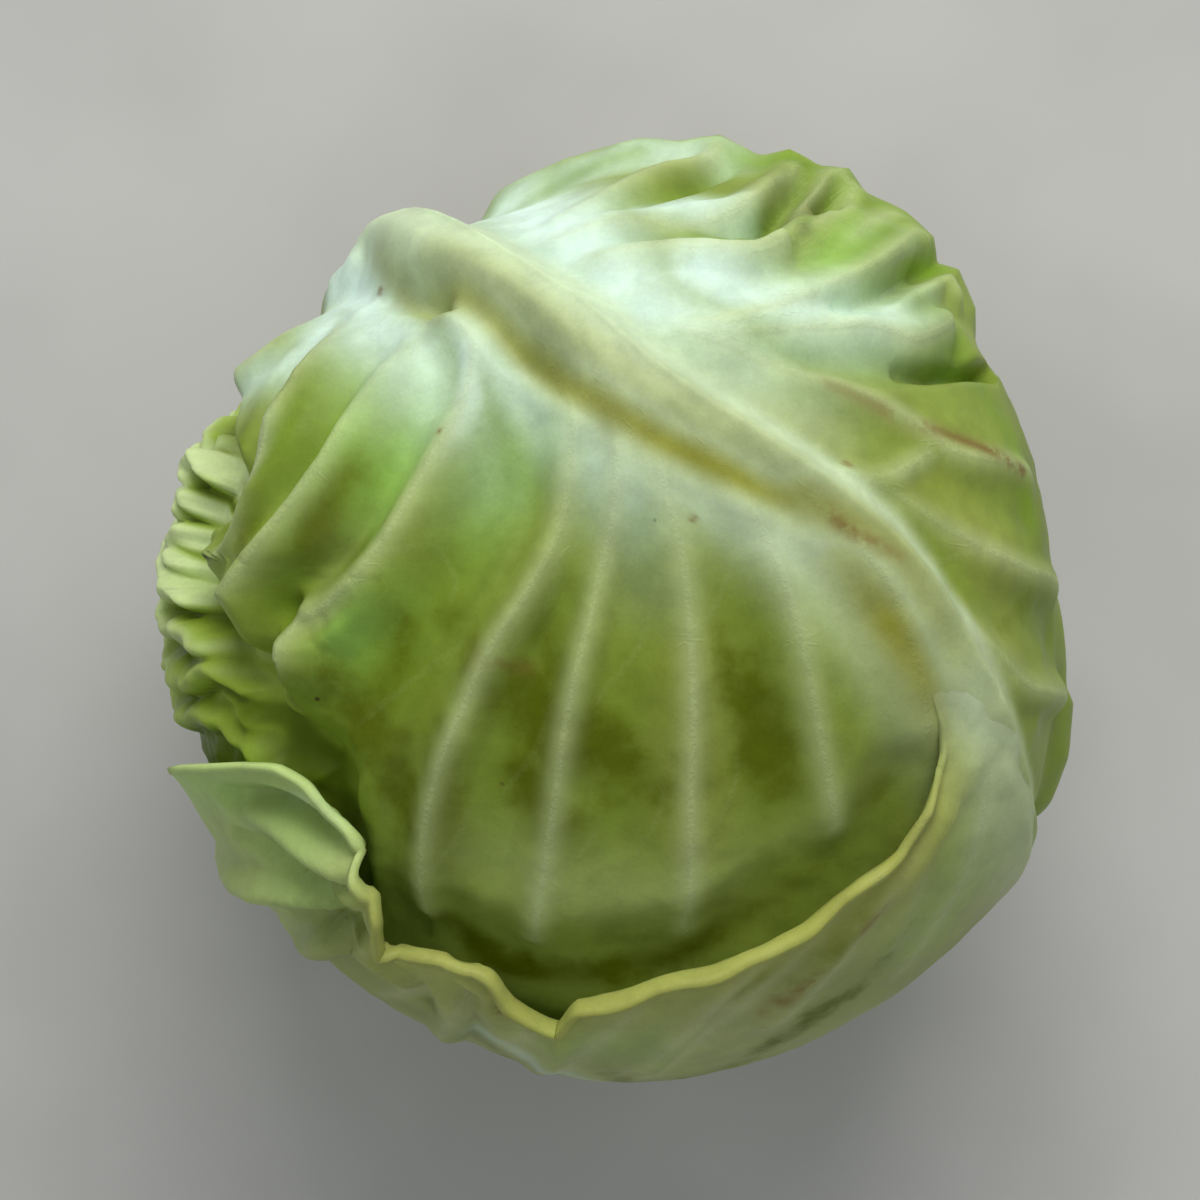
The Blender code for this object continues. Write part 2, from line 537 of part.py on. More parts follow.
def disc_angles(spots, turn, outline):
    """Azimuth and polar angle of grid places spread over a leaf with the given outline."""
    s = spots[:, 0]
    t = spots[:, 1]
    x = s * np.sqrt(1 - t**2 / 2)
    y = t * np.sqrt(1 - s**2 / 2)
    azimuth = np.degrees(np.arctan2(y, x)) + turn
    share = np.hypot(x, y)
    middle = np.mean(outline[:, 1])
    return azimuth, share * (middle + (look_up(outline, azimuth) - middle) * share**0.9)


def thicken(item, thickness=LEAF_THICKNESS):
    """Gives an open leaf surface its thickness, inwards."""
    modifier = item.modifiers.new("Thickness", "SOLIDIFY")
    modifier.thickness = thickness * 0.001
    modifier.offset = -1
    modifier.use_even_offset = False


def material_for(name):
    material = bpy.data.materials.new(name)
    material.use_nodes = True
    shader = material.node_tree.nodes["Principled BSDF"]
    shader.inputs["Base Color"].default_value = (*COLOURS[name], 1)
    shader.inputs["Roughness"].default_value = 0.45
    shader.inputs["Metallic"].default_value = 0
    return material


def new_object(name, mesh, collection):
    item = bpy.data.objects.new(name, mesh)
    collection.objects.link(item)
    return item


def finish(item, name):
    item.data.materials.clear()
    item.data.materials.append(material_for(name))
    item.data.shade_smooth()


def apply_modifiers(item):
    """Replaces the object's mesh by its evaluated one."""
    graph = bpy.context.evaluated_depsgraph_get()
    mesh = bpy.data.meshes.new_from_object(item.evaluated_get(graph))
    item.modifiers.clear()
    item.data = mesh


def top_blade(collection):
    mesh, spots = grid_mesh("top_leaf", TOP_CELLS)
    even = np.linspace(-1, 1, TOP_CELLS[1] + 1)
    spots[:, 1] = np.interp(spots[:, 1], even, crowd(TOP_CELLS[1], 0.36, 0.13, 1.3))
    azimuth, polar = disc_angles(spots, -45, TOP_OUTLINE)
    direction = unit(azimuth, polar)
    put_points(mesh, direction * top_radius(direction)[:, None])
    split_faces(mesh)
    blade = new_object("top_leaf", mesh, collection)
    thicken(blade)
    return blade


LIP_LIFT = turn_table(LIP_LIFT_POLAR)
LIP_ROLL = turn_table(LIP_ROLL_POLAR)


def lobe_tables():
    azimuth, polar = seen_angles(LIP)
    azimuth, polar = seen_angles(LIP, look_up(LIP_LIFT, azimuth))
    inner = turn_table(tuple(zip(azimuth, polar)))
    crest_azimuth, crest_polar = seen_angles(CREST[9:])
    outer = turn_table(tuple(zip(crest_azimuth, crest_polar)) + LOBE_OUTER_POLAR)
    return inner, outer


LOBE_INNER, LOBE_OUTER = lobe_tables()


def lobe_radius(azimuth, polar, from_lip):
    """Outer surface of the lower lobe: one with the midrib along its far side, lifted at its lip."""
    direction = unit(azimuth, polar)
    base = head_radius(direction)
    place = direction * base[:, None]
    to_seam = (look_up(LOBE_OUTER, azimuth) - polar) * np.radians(1) * 90
    free = ease(-30, -48, azimuth) + (1 - ease(-30, -48, azimuth)) * ease(0, 14, to_seam)
    parted = free * ease(-12, -32, azimuth)
    relief = blade_relief(place) * (1 - parted) + midrib_relief(place) * parted
    folds = ribs(place, LOBE_RIBS, -1.8) + rolls(place, LOBE_PLEATS, -1.8)
    folds -= ribs(place, LOBE_HOLLOWS, -1.8, rising=False)
    relief += folds * parted
    lift = look_up(LIP_LIFT, azimuth) * (0.45 + 0.55 * np.exp(-from_lip / 22)) * free
    return base - TOP_INSET + relief + lift - 0.4 * (1 - free)


def lobe_points(spots):
    azimuth = LOBE_FROM + (LOBE_TO - LOBE_FROM) * (spots[:, 0] + 1) / 2
    across = (spots[:, 1] + 1) / 2
    inner = look_up(LOBE_INNER, azimuth)
    outer = np.maximum(look_up(LOBE_OUTER, azimuth), inner + 2)
    width = (outer - inner) * np.radians(1) * 90
    from_lip = np.interp(across, (0, 0.3, 1), (0, 0.17, 1)) * width
    rounding = look_up(LIP_ROLL, azimuth)
    reach = np.radians(LIP_TURN) * rounding
    roll = np.clip(look_up(LIP_LIFT, azimuth) / 4, 0, 1)
    turn = np.radians(LIP_TURN) * np.clip(1 - from_lip / reach, 0, 1) * roll
    shift = np.where(from_lip < reach, reach - from_lip - rounding * np.sin(turn), 0) * roll
    polar = inner + np.degrees((from_lip + shift) / 90)
    radius = lobe_radius(azimuth, polar, from_lip) + rounding * (1 - np.cos(turn))
    return unit(azimuth, polar) * radius[:, None]


def lower_lobe(collection):
    mesh, spots = grid_mesh("lower_lobe", LOBE_CELLS)
    put_points(mesh, lobe_points(spots))
    split_faces(mesh)
    lobe = new_object("lower_lobe", mesh, collection)
    thicken(lobe)
    return lobe


def make_top_leaf(collection, cutters):
    """The top leaf's blade and its lower lobe, joined where the lobe grows from the midrib."""
    blade = top_blade(collection)
    lobe = lower_lobe(cutters)
    apply_modifiers(blade)
    apply_modifiers(lobe)
    union = blade.modifiers.new("Lower lobe", "BOOLEAN")
    union.operation = "UNION"
    union.object = lobe
    union.solver = "MANIFOLD"
    bpy.context.view_layer.update()
    apply_modifiers(blade)
    bpy.data.objects.remove(lobe, do_unlink=True)
    return blade


def lowest_near(radius_of, azimuth, polar):
    """The least radius of a surface at a direction and just round it, so that steep folds are cleared."""
    found = radius_of(azimuth, polar)
    widen = 1 / np.maximum(np.sin(np.radians(polar)), 0.2)
    for step in range(8):
        turn = math.tau * step / 8
        beside = azimuth + LOOK_ROUND * math.cos(turn) * widen
        above = polar + LOOK_ROUND * math.sin(turn)
        found = np.minimum(found, radius_of(beside, above))
    return found


def beneath(radius, direction, outer, inside):
    """Keeps a surface below an outer leaf wherever that leaf covers it."""
    room = outer - LEAF_THICKNESS - LEAF_GAP
    return np.where(inside > 0, np.minimum(radius, room * inside + radius * (1 - inside)), radius)


def under_top(radius, direction):
    """Keeps a surface below the top leaf and its lower lobe."""
    azimuth, polar = angles(direction)
    reach = np.max([look_up(TOP_OUTLINE, azimuth + turn) for turn in (-5, -2.5, 0, 2.5, 5)], axis=0)
    covered = ease(8, 4, polar - reach)
    outer_leaf = lowest_near(lambda turn, tip: top_radius(unit(turn, tip)), azimuth, polar)
    radius = beneath(radius, direction, outer_leaf, covered)
    inner = look_up(LOBE_INNER, azimuth)
    outer = look_up(LOBE_OUTER, azimuth)
    along = ease(LOBE_FROM + 1, LOBE_FROM - 1, azimuth) * ease(LOBE_TO - 5, LOBE_TO - 2, azimuth)
    covered = along * ease(inner - 3.5, inner - 0.5, polar) * ease(outer + 3.5, outer + 0.5, polar)
    from_lip = np.clip((polar - inner) * np.radians(1) * 90, 0, None)
    return beneath(radius, direction, lobe_radius(azimuth, polar, from_lip), covered)


def polar_line(pairs):
    """A smooth line on the cabbage through (azimuth, polar) pairs."""
    given = np.array(pairs, float)
    smooth = smooth_path(unit(given[:, 0], given[:, 1]), 5)
    smooth /= np.linalg.norm(smooth, axis=1)[:, None]
    return smooth * head_radius(smooth)[:, None]


UNDER_TABLE = turn_table(UNDER_REACH)


def under_reach(azimuth):
    return 180 - look_up(UNDER_TABLE, azimuth)


def under_radius(direction):
    """Outer surface of the leaf that the cabbage lies on."""
    azimuth, polar = angles(direction)
    base = head_radius(direction)
    place = direction * base[:, None]
    relief = rib(place, polar_line(UNDER_MIDRIB_POLAR), (4, 3, 1, 1, 1.5, 1), 9, 9)
    for index, foot in enumerate(UNDER_VEIN_FEET):
        for side in (-1, 1):
            toe = (foot[0] + side * (62 - 8 * index), 122 - 4 * index)
            relief += rib(place, polar_line((foot, toe)), (1.5, 1.2, 0.6), 6, 6)
    wave = np.sin(np.radians(azimuth) * 9) + 0.6 * np.sin(np.radians(azimuth) * 17 + 1)
    relief += 1.0 * wave * ease(14, 0, polar - under_reach(azimuth))
    return under_top(base - UNDER_INSET + relief, direction)


def under_under(radius, direction):
    azimuth, polar = angles(direction)
    covered = ease(-4.5, -1.5, polar - under_reach(azimuth))
    return beneath(radius, direction, under_radius(direction) - 0.5, covered)


def settled(radius, direction):
    """Keeps a side leaf between the leaves over it and the head."""
    radius = under_under(under_top(radius, direction), direction)
    return np.maximum(radius, head_radius(direction) - SIDE_FLOOR)


def left_radius(direction):
    base = head_radius(direction)
    place = direction * base[:, None]
    relief = rolls(place, CRUMPLES, LEFT_INSET)
    relief -= ribs(place, CRUMPLE_HOLLOWS, LEFT_INSET, rising=False)
    relief += rib(place, polar_line(LEFT_MIDRIB_POLAR), (4, 3, 2, 0.5), 9, 9)
    return settled(base - LEFT_INSET + relief, direction)


def right_radius(direction):
    azimuth, polar = angles(direction)
    base = head_radius(direction)
    place = direction * base[:, None]
    relief = rib(place, polar_line(RIGHT_MIDRIB_POLAR), (4, 3, 2.5, 2, 1.5, 1, 0.5), 9, 9)
    middle = np.array(RIGHT_MIDRIB_POLAR, float)[::-1]
    for foot in RIGHT_VEIN_FEET:
        start = (foot, np.interp(foot, middle[:, 0], middle[:, 1]))
        for toe in (start[1] - 40, start[1] + 32):
            relief += rib(place, polar_line((start, (foot - 26, toe))), (1.6, 1.4, 0.8), 6, 6)
    relief += 0.9 * np.sin(np.radians(azimuth) * 13) * np.sin(np.radians(polar) * 7)
    return settled(base - RIGHT_INSET + relief, direction)


def make_under_leaf(collection):
    mesh, spots = grid_mesh("under_leaf", UNDER_CELLS)
    azimuth, reach = disc_angles(spots, STEM_AZIMUTH, UNDER_TABLE)
    direction = unit(azimuth, 180 - reach)
    points = direction * under_radius(direction)[:, None]
    points[:, 2] = np.maximum(points[:, 2], -MIDDLE_HEIGHT)
    put_points(mesh, points)
    split_faces(mesh, inside_out=True)
    leaf = new_object("under_leaf", mesh, collection)
    thicken(leaf)
    return leaf


def band_leaf(collection, name, cells, span, top, bottom, radius_of):
    """A leaf that wraps one side of the head, between two margins given by azimuth."""
    mesh, spots = grid_mesh(name, cells)
    azimuth = span[0] + (span[1] - span[0]) * (spots[:, 0] + 1) / 2
    upper = even_curve(sorted(top))
    lower = even_curve(sorted(bottom))
    share = (1 - spots[:, 1]) / 2
    high = np.interp(azimuth, upper[:, 0], upper[:, 1])
    low = np.interp(azimuth, lower[:, 0], lower[:, 1])
    direction = unit(azimuth, high + (low - high) * share)
    put_points(mesh, direction * radius_of(direction)[:, None])
    split_faces(mesh)
    leaf = new_object(name, mesh, collection)
    thicken(leaf)
    return leaf


def make_left_leaf(collection):
    top = [(azimuth, high) for azimuth, high, _ in LEFT_POLAR]
    bottom = [(azimuth, low) for azimuth, _, low in LEFT_POLAR]
    return band_leaf(collection, "left_leaf", LEFT_CELLS, LEFT_SPAN, top, bottom, left_radius)


def make_right_leaf(collection):
    return band_leaf(
        collection, "right_leaf", RIGHT_CELLS, RIGHT_SPAN, RIGHT_TOP_POLAR, RIGHT_BOTTOM_POLAR, right_radius
    )


def stem_cylinder(name, collection, start, stop, radius, sides):
    """A cylinder along the stem's direction."""
    mesh = bpy.data.meshes.new(name)
    shape = bmesh.new()
    bmesh.ops.create_cone(
        shape, cap_ends=True, segments=sides, radius1=radius * 0.001, radius2=radius * 0.001,
        depth=(stop - start) * 0.001,
    )
    shape.to_mesh(mesh)
    shape.free()
    item = new_object(name, mesh, collection)
    axis = unit(STEM_AZIMUTH, STEM_POLAR)
    middle = axis * (start + stop) / 2 + np.array([SHIFT[0], SHIFT[1], MIDDLE_HEIGHT])
    item.location = middle * 0.001
    item.rotation_euler = (0, math.radians(STEM_POLAR), math.radians(STEM_AZIMUTH))
    return item


def make_stem(collection):
    stem = stem_cylinder("stem", collection, STEM_FROM, STEM_TO, STEM_RADIUS, 20)
    bevel = stem.modifiers.new("Worn rim", "BEVEL")
    bevel.width = 0.0015
    bevel.segments = 2
    bevel.limit_method = "ANGLE"
    return stem


def make_head(collection, cutters):
    """The firm head of closed leaves, with the seat that the stem grows out of."""
    mesh = bpy.data.meshes.new("head")
    shape = bmesh.new()
    bmesh.ops.create_uvsphere(shape, u_segments=HEAD_CELLS[0], v_segments=HEAD_CELLS[1], radius=1)
    shape.to_mesh(mesh)
    shape.free()
    spots = np.empty(len(mesh.vertices) * 3)
    mesh.vertices.foreach_get("co", spots)
    direction = spots.reshape(-1, 3)
    direction /= np.linalg.norm(direction, axis=1)[:, None]
    put_points(mesh, direction * (head_radius(direction) - HEAD_INSET)[:, None])
    head = new_object("head", mesh, collection)
    seat = stem_cylinder(
        "stem_seat", cutters, STEM_FROM - STEM_CLEARANCE, STEM_TO, STEM_RADIUS + STEM_CLEARANCE, 20
    )
    seat.hide_render = True
    seat.display_type = "WIRE"
    cut = head.modifiers.new("Stem seat", "BOOLEAN")
    cut.operation = "DIFFERENCE"
    cut.object = seat
    return head


def main():
    for item in list(bpy.data.objects):
        bpy.data.objects.remove(item, do_unlink=True)
    collection = bpy.data.collections.new("green_cabbage")
    cutters = bpy.data.collections.new("cutters")
    bpy.context.scene.collection.children.link(collection)
    bpy.context.scene.collection.children.link(cutters)
    finish(make_head(collection, cutters), "head")
    finish(make_stem(collection), "stem")
    finish(make_under_leaf(collection), "under_leaf")
    finish(make_left_leaf(collection), "left_leaf")
    finish(make_right_leaf(collection), "right_leaf")
    finish(make_top_leaf(collection, cutters), "top_leaf")


main()
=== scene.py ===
import bmesh
import bpy
import numpy as np
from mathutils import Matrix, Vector, noise


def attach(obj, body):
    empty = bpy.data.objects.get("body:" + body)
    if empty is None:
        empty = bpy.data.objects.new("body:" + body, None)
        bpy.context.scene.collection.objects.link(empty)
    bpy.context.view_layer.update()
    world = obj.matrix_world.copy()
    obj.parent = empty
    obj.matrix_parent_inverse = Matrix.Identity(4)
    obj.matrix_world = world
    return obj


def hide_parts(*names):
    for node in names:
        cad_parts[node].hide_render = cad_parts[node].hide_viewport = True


# A green cabbage seen from straight above: firm head, cut stem and the wrapper leaves round it.
# Lengths are in millimetres about the middle of the cabbage unless a note says otherwise.
# Azimuths turn from +X towards +Y and polar angles run down from +Z, both in degrees.

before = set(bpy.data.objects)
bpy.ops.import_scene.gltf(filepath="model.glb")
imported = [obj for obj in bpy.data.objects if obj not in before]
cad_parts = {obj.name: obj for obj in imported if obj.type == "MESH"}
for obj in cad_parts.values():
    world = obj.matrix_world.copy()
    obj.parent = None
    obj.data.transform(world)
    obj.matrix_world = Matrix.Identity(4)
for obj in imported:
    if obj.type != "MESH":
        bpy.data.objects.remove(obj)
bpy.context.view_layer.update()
print("frame loaded")

cabbage = {
    "middle": (-1.93, -1.85, 74.0),     # where the middle lies in the frame
    "crownRise": 77.0,
    "crownDrop": 79.0,
    "fullness": 2.2,                   # 2 is an ellipse, more is boxier
    "eyeHeight": 640.0,                # height of the eye above the middle
    "girth": (
        (0, 90.0), (30, 92.0), (47, 94.5), (62, 95.0), (77, 93.0), (90, 90.0), (103, 84.5), (118, 83.5),
        (130, 84.0), (150, 88.5), (180, 89.0), (210, 89.5), (228, 87.5), (250, 87.5), (270, 91.0),
        (290, 91.5), (315, 93.0), (338, 92.5),
    ),
    "meanRadius": 90.0,                # turns angles into lengths along the surface
    "leafThickness": 1.3,
    "leafGap": 1.8,
    "deepest": 14.0,                   # how far a side leaf may sink into the head
}


def ease(low, high, value):            # 0 below low, 1 above high, smooth between
    t = np.clip((value - low) / (high - low), 0, 1)
    return t * t * (3 - 2 * t)


def smoothPath(points, pieces):        # smooth curve through given points
    given = np.array(points, float)
    ends = np.vstack([2 * given[0] - given[1], given, 2 * given[-1] - given[-2]])
    t = np.linspace(0, 1, pieces, endpoint=False)[:, None]
    spans = []
    for a, b, c, d in zip(ends, ends[1:], ends[2:], ends[3:]):
        bend = (c - a) * t + (2 * a - 5 * b + 4 * c - d) * t**2 + (3 * b - a - 3 * c + d) * t**3
        spans.append(b + 0.5 * bend)
    return np.vstack(spans + [given[-1:]])


def evenCurve(pairs, step=0.5):        # (place, value) pairs with no swing beyond the given values
    given = np.array(pairs, float)
    gap = np.diff(given[:, 0])
    rise = np.diff(given[:, 1]) / gap
    slope = np.zeros(len(given))
    agree = rise[1:] * rise[:-1] > 0
    slope[1:-1][agree] = 2 * rise[1:][agree] * rise[:-1][agree] / (rise[1:] + rise[:-1])[agree]
    place = np.arange(given[0, 0], given[-1, 0] + step / 2, step)
    index = np.clip(np.searchsorted(given[:, 0], place, side="right") - 1, 0, len(gap) - 1)
    t = (place - given[index, 0]) / gap[index]
    blend = t * t * (3 - 2 * t)
    value = given[index, 1] * (1 - blend) + given[index + 1, 1] * blend
    value += t * (1 - t) * gap[index] * (slope[index] * (1 - t) - slope[index + 1] * t)
    return np.stack([place, value], axis=1)


def turnTable(pairs):                  # the same, closed on itself after a whole turn
    ordered = sorted((azimuth % 360, value) for azimuth, value in pairs)
    before = [(azimuth - 360, value) for azimuth, value in ordered[-2:]]
    after = [(azimuth + 360, value) for azimuth, value in ordered[:2]]
    return evenCurve(before + ordered + after)


def lookUp(table, azimuth):
    return np.interp(np.mod(azimuth, 360), table[:, 0], table[:, 1])


girthTable = turnTable(cabbage["girth"])


def unit(azimuth, polar):
    turn = np.radians(azimuth)
    tip = np.radians(polar)
    return np.stack([np.sin(tip) * np.cos(turn), np.sin(tip) * np.sin(turn), np.cos(tip)], axis=-1)


def angles(direction):
    azimuth = np.degrees(np.arctan2(direction[:, 1], direction[:, 0]))
    polar = np.degrees(np.arccos(np.clip(direction[:, 2], -1, 1)))
    return azimuth, polar


def arc(degrees):                      # length along the cabbage's surface
    return degrees * np.radians(1) * cabbage["meanRadius"]


def between(turns, azimuth):           # rises from the first turn to the second, falls from the third on
    return ease(turns[0], turns[1], azimuth) * ease(turns[3], turns[2], azimuth)


def headRadius(direction):             # the cabbage's outside before its ribs and folds
    azimuth, _ = angles(direction)
    across = np.hypot(direction[:, 0], direction[:, 1])
    tall = np.where(direction[:, 2] > 0, cabbage["crownRise"], cabbage["crownDrop"])
    level = (across / lookUp(girthTable, azimuth)) ** cabbage["fullness"]
    upright = (np.abs(direction[:, 2]) / tall) ** cabbage["fullness"]
    return (level + upright) ** (-1 / cabbage["fullness"])


def seenAngles(points, lift=0.0):      # where the sight line of a point seen from above meets the cabbage
    spot = np.array(points, float)
    azimuth = np.degrees(np.arctan2(spot[:, 1], spot[:, 0]))
    sight = np.arctan2(np.hypot(spot[:, 0], spot[:, 1]), cabbage["eyeHeight"])
    polar = np.full(len(spot), 45.0)
    for _ in range(12):
        radius = headRadius(unit(azimuth, polar)) + lift
        reach = np.clip(cabbage["eyeHeight"] * np.sin(sight) / radius, 0, 1)
        polar = np.degrees(np.arcsin(reach) - sight)
    return azimuth, polar


def onHead(pairs, pieces):             # smooth line on the surface through azimuth and polar pairs
    smooth = smoothPath(unit(pairs[:, 0], pairs[:, 1]), pieces)
    smooth /= np.linalg.norm(smooth, axis=1)[:, None]
    return smooth * headRadius(smooth)[:, None]


def lineOnHead(points, before=(), after=(), height=0.0, inset=0.0):    # the same through seen points
    lift = levelAt(height, np.linspace(0, 1, len(points))) - inset
    azimuth, polar = seenAngles(points, lift)
    parts = [np.array(before, float).reshape(-1, 2), np.stack([azimuth, polar], axis=1)]
    parts.append(np.array(after, float).reshape(-1, 2))
    return onHead(np.vstack(parts), 4)


def polarLine(pairs):
    return onHead(np.array(pairs, float), 5)


def measure(place, line, reach):       # signed distance (minus to the right) and share along the line
    step = np.diff(line, axis=0)
    length = np.linalg.norm(step, axis=1)
    run = np.concatenate([[0], np.cumsum(length)])
    distance = np.full(len(place), 1e3)
    along = np.zeros(len(place))
    inBox = ((place > line.min(axis=0) - reach) & (place < line.max(axis=0) + reach)).all(axis=1)
    near = np.flatnonzero(inBox)
    best = np.full(len(near), 1e3)
    share = np.zeros(len(near))
    side = np.ones(len(near))
    for index, start in enumerate(line[:-1]):
        away = place[near] - start
        part = np.clip(away @ step[index] / length[index] ** 2, 0, 1)
        off = away - part[:, None] * step[index]
        gap = np.sqrt(np.einsum("ij,ij->i", off, off))
        closer = gap < best
        best[closer] = gap[closer]
        share[closer] = (run[index] + part[closer] * length[index]) / run[-1]
        turn = np.einsum("ij,ij->i", np.cross(step[index], away[closer]), place[near[closer]])
        side[closer] = np.where(turn < 0, -1, 1)
    distance[near] = best * side
    along[near] = share
    return distance, along


def levelAt(values, along):            # values spaced evenly along a line
    values = np.atleast_1d(np.array(values, float))
    return np.interp(along, np.linspace(0, 1, len(values)), values)


def flank(distance, right, left):      # 0 on the line, 1 at the foot of either flank
    return np.clip(np.abs(distance) / np.where(distance < 0, right, left), 0, 1)


def rib(place, line, height, right, left, undercut=0.0):
    distance, along = measure(place, line, max(2.5 * right, left))
    share = flank(distance, right, left)
    past = np.clip((-distance / right - 0.7) / 1.8, 0, 1)
    trough = undercut * np.sin(np.pi * past) ** 2
    return levelAt(height, along) * ((1 - share**2) ** 2 - trough)


def ribs(place, listed, inset=2.2, rising=True, undercut=0.0):     # hollows are listed the same way
    total = np.zeros(len(place))
    for points, height, right, left in listed:
        line = lineOnHead(points, height=height if rising else 0.0, inset=inset)
        total += rib(place, line, height, right, left, undercut)
    return total


def rolls(place, listed, inset):       # side by side with sharp creases; those at the outline run on down
    found = np.zeros(len(place))
    for points, height, right, left in listed:
        azimuth, polar = seenAngles(points[:1])
        below = ((azimuth[0] - 16, 108), (azimuth[0] - 7, 95)) if polar[0] > 74 else ()
        line = lineOnHead(points, before=below, height=height, inset=inset)
        distance, along = measure(place, line, max(right, left))
        share = flank(distance, right, left)
        found = np.maximum(found, levelAt(height, along) * (1 - share**2))
    return found


def stroke(place, line, width, strength):      # its strength on the line, fading out to the sides
    distance, along = measure(place, line, 3 * width)
    return levelAt(strength, along) * np.exp(-((distance / width) ** 2))


def nearLines(place, listed, width):
    found = np.zeros(len(place))
    for line, strength in listed:
        found = np.maximum(found, stroke(place, line, width, strength))
    return found


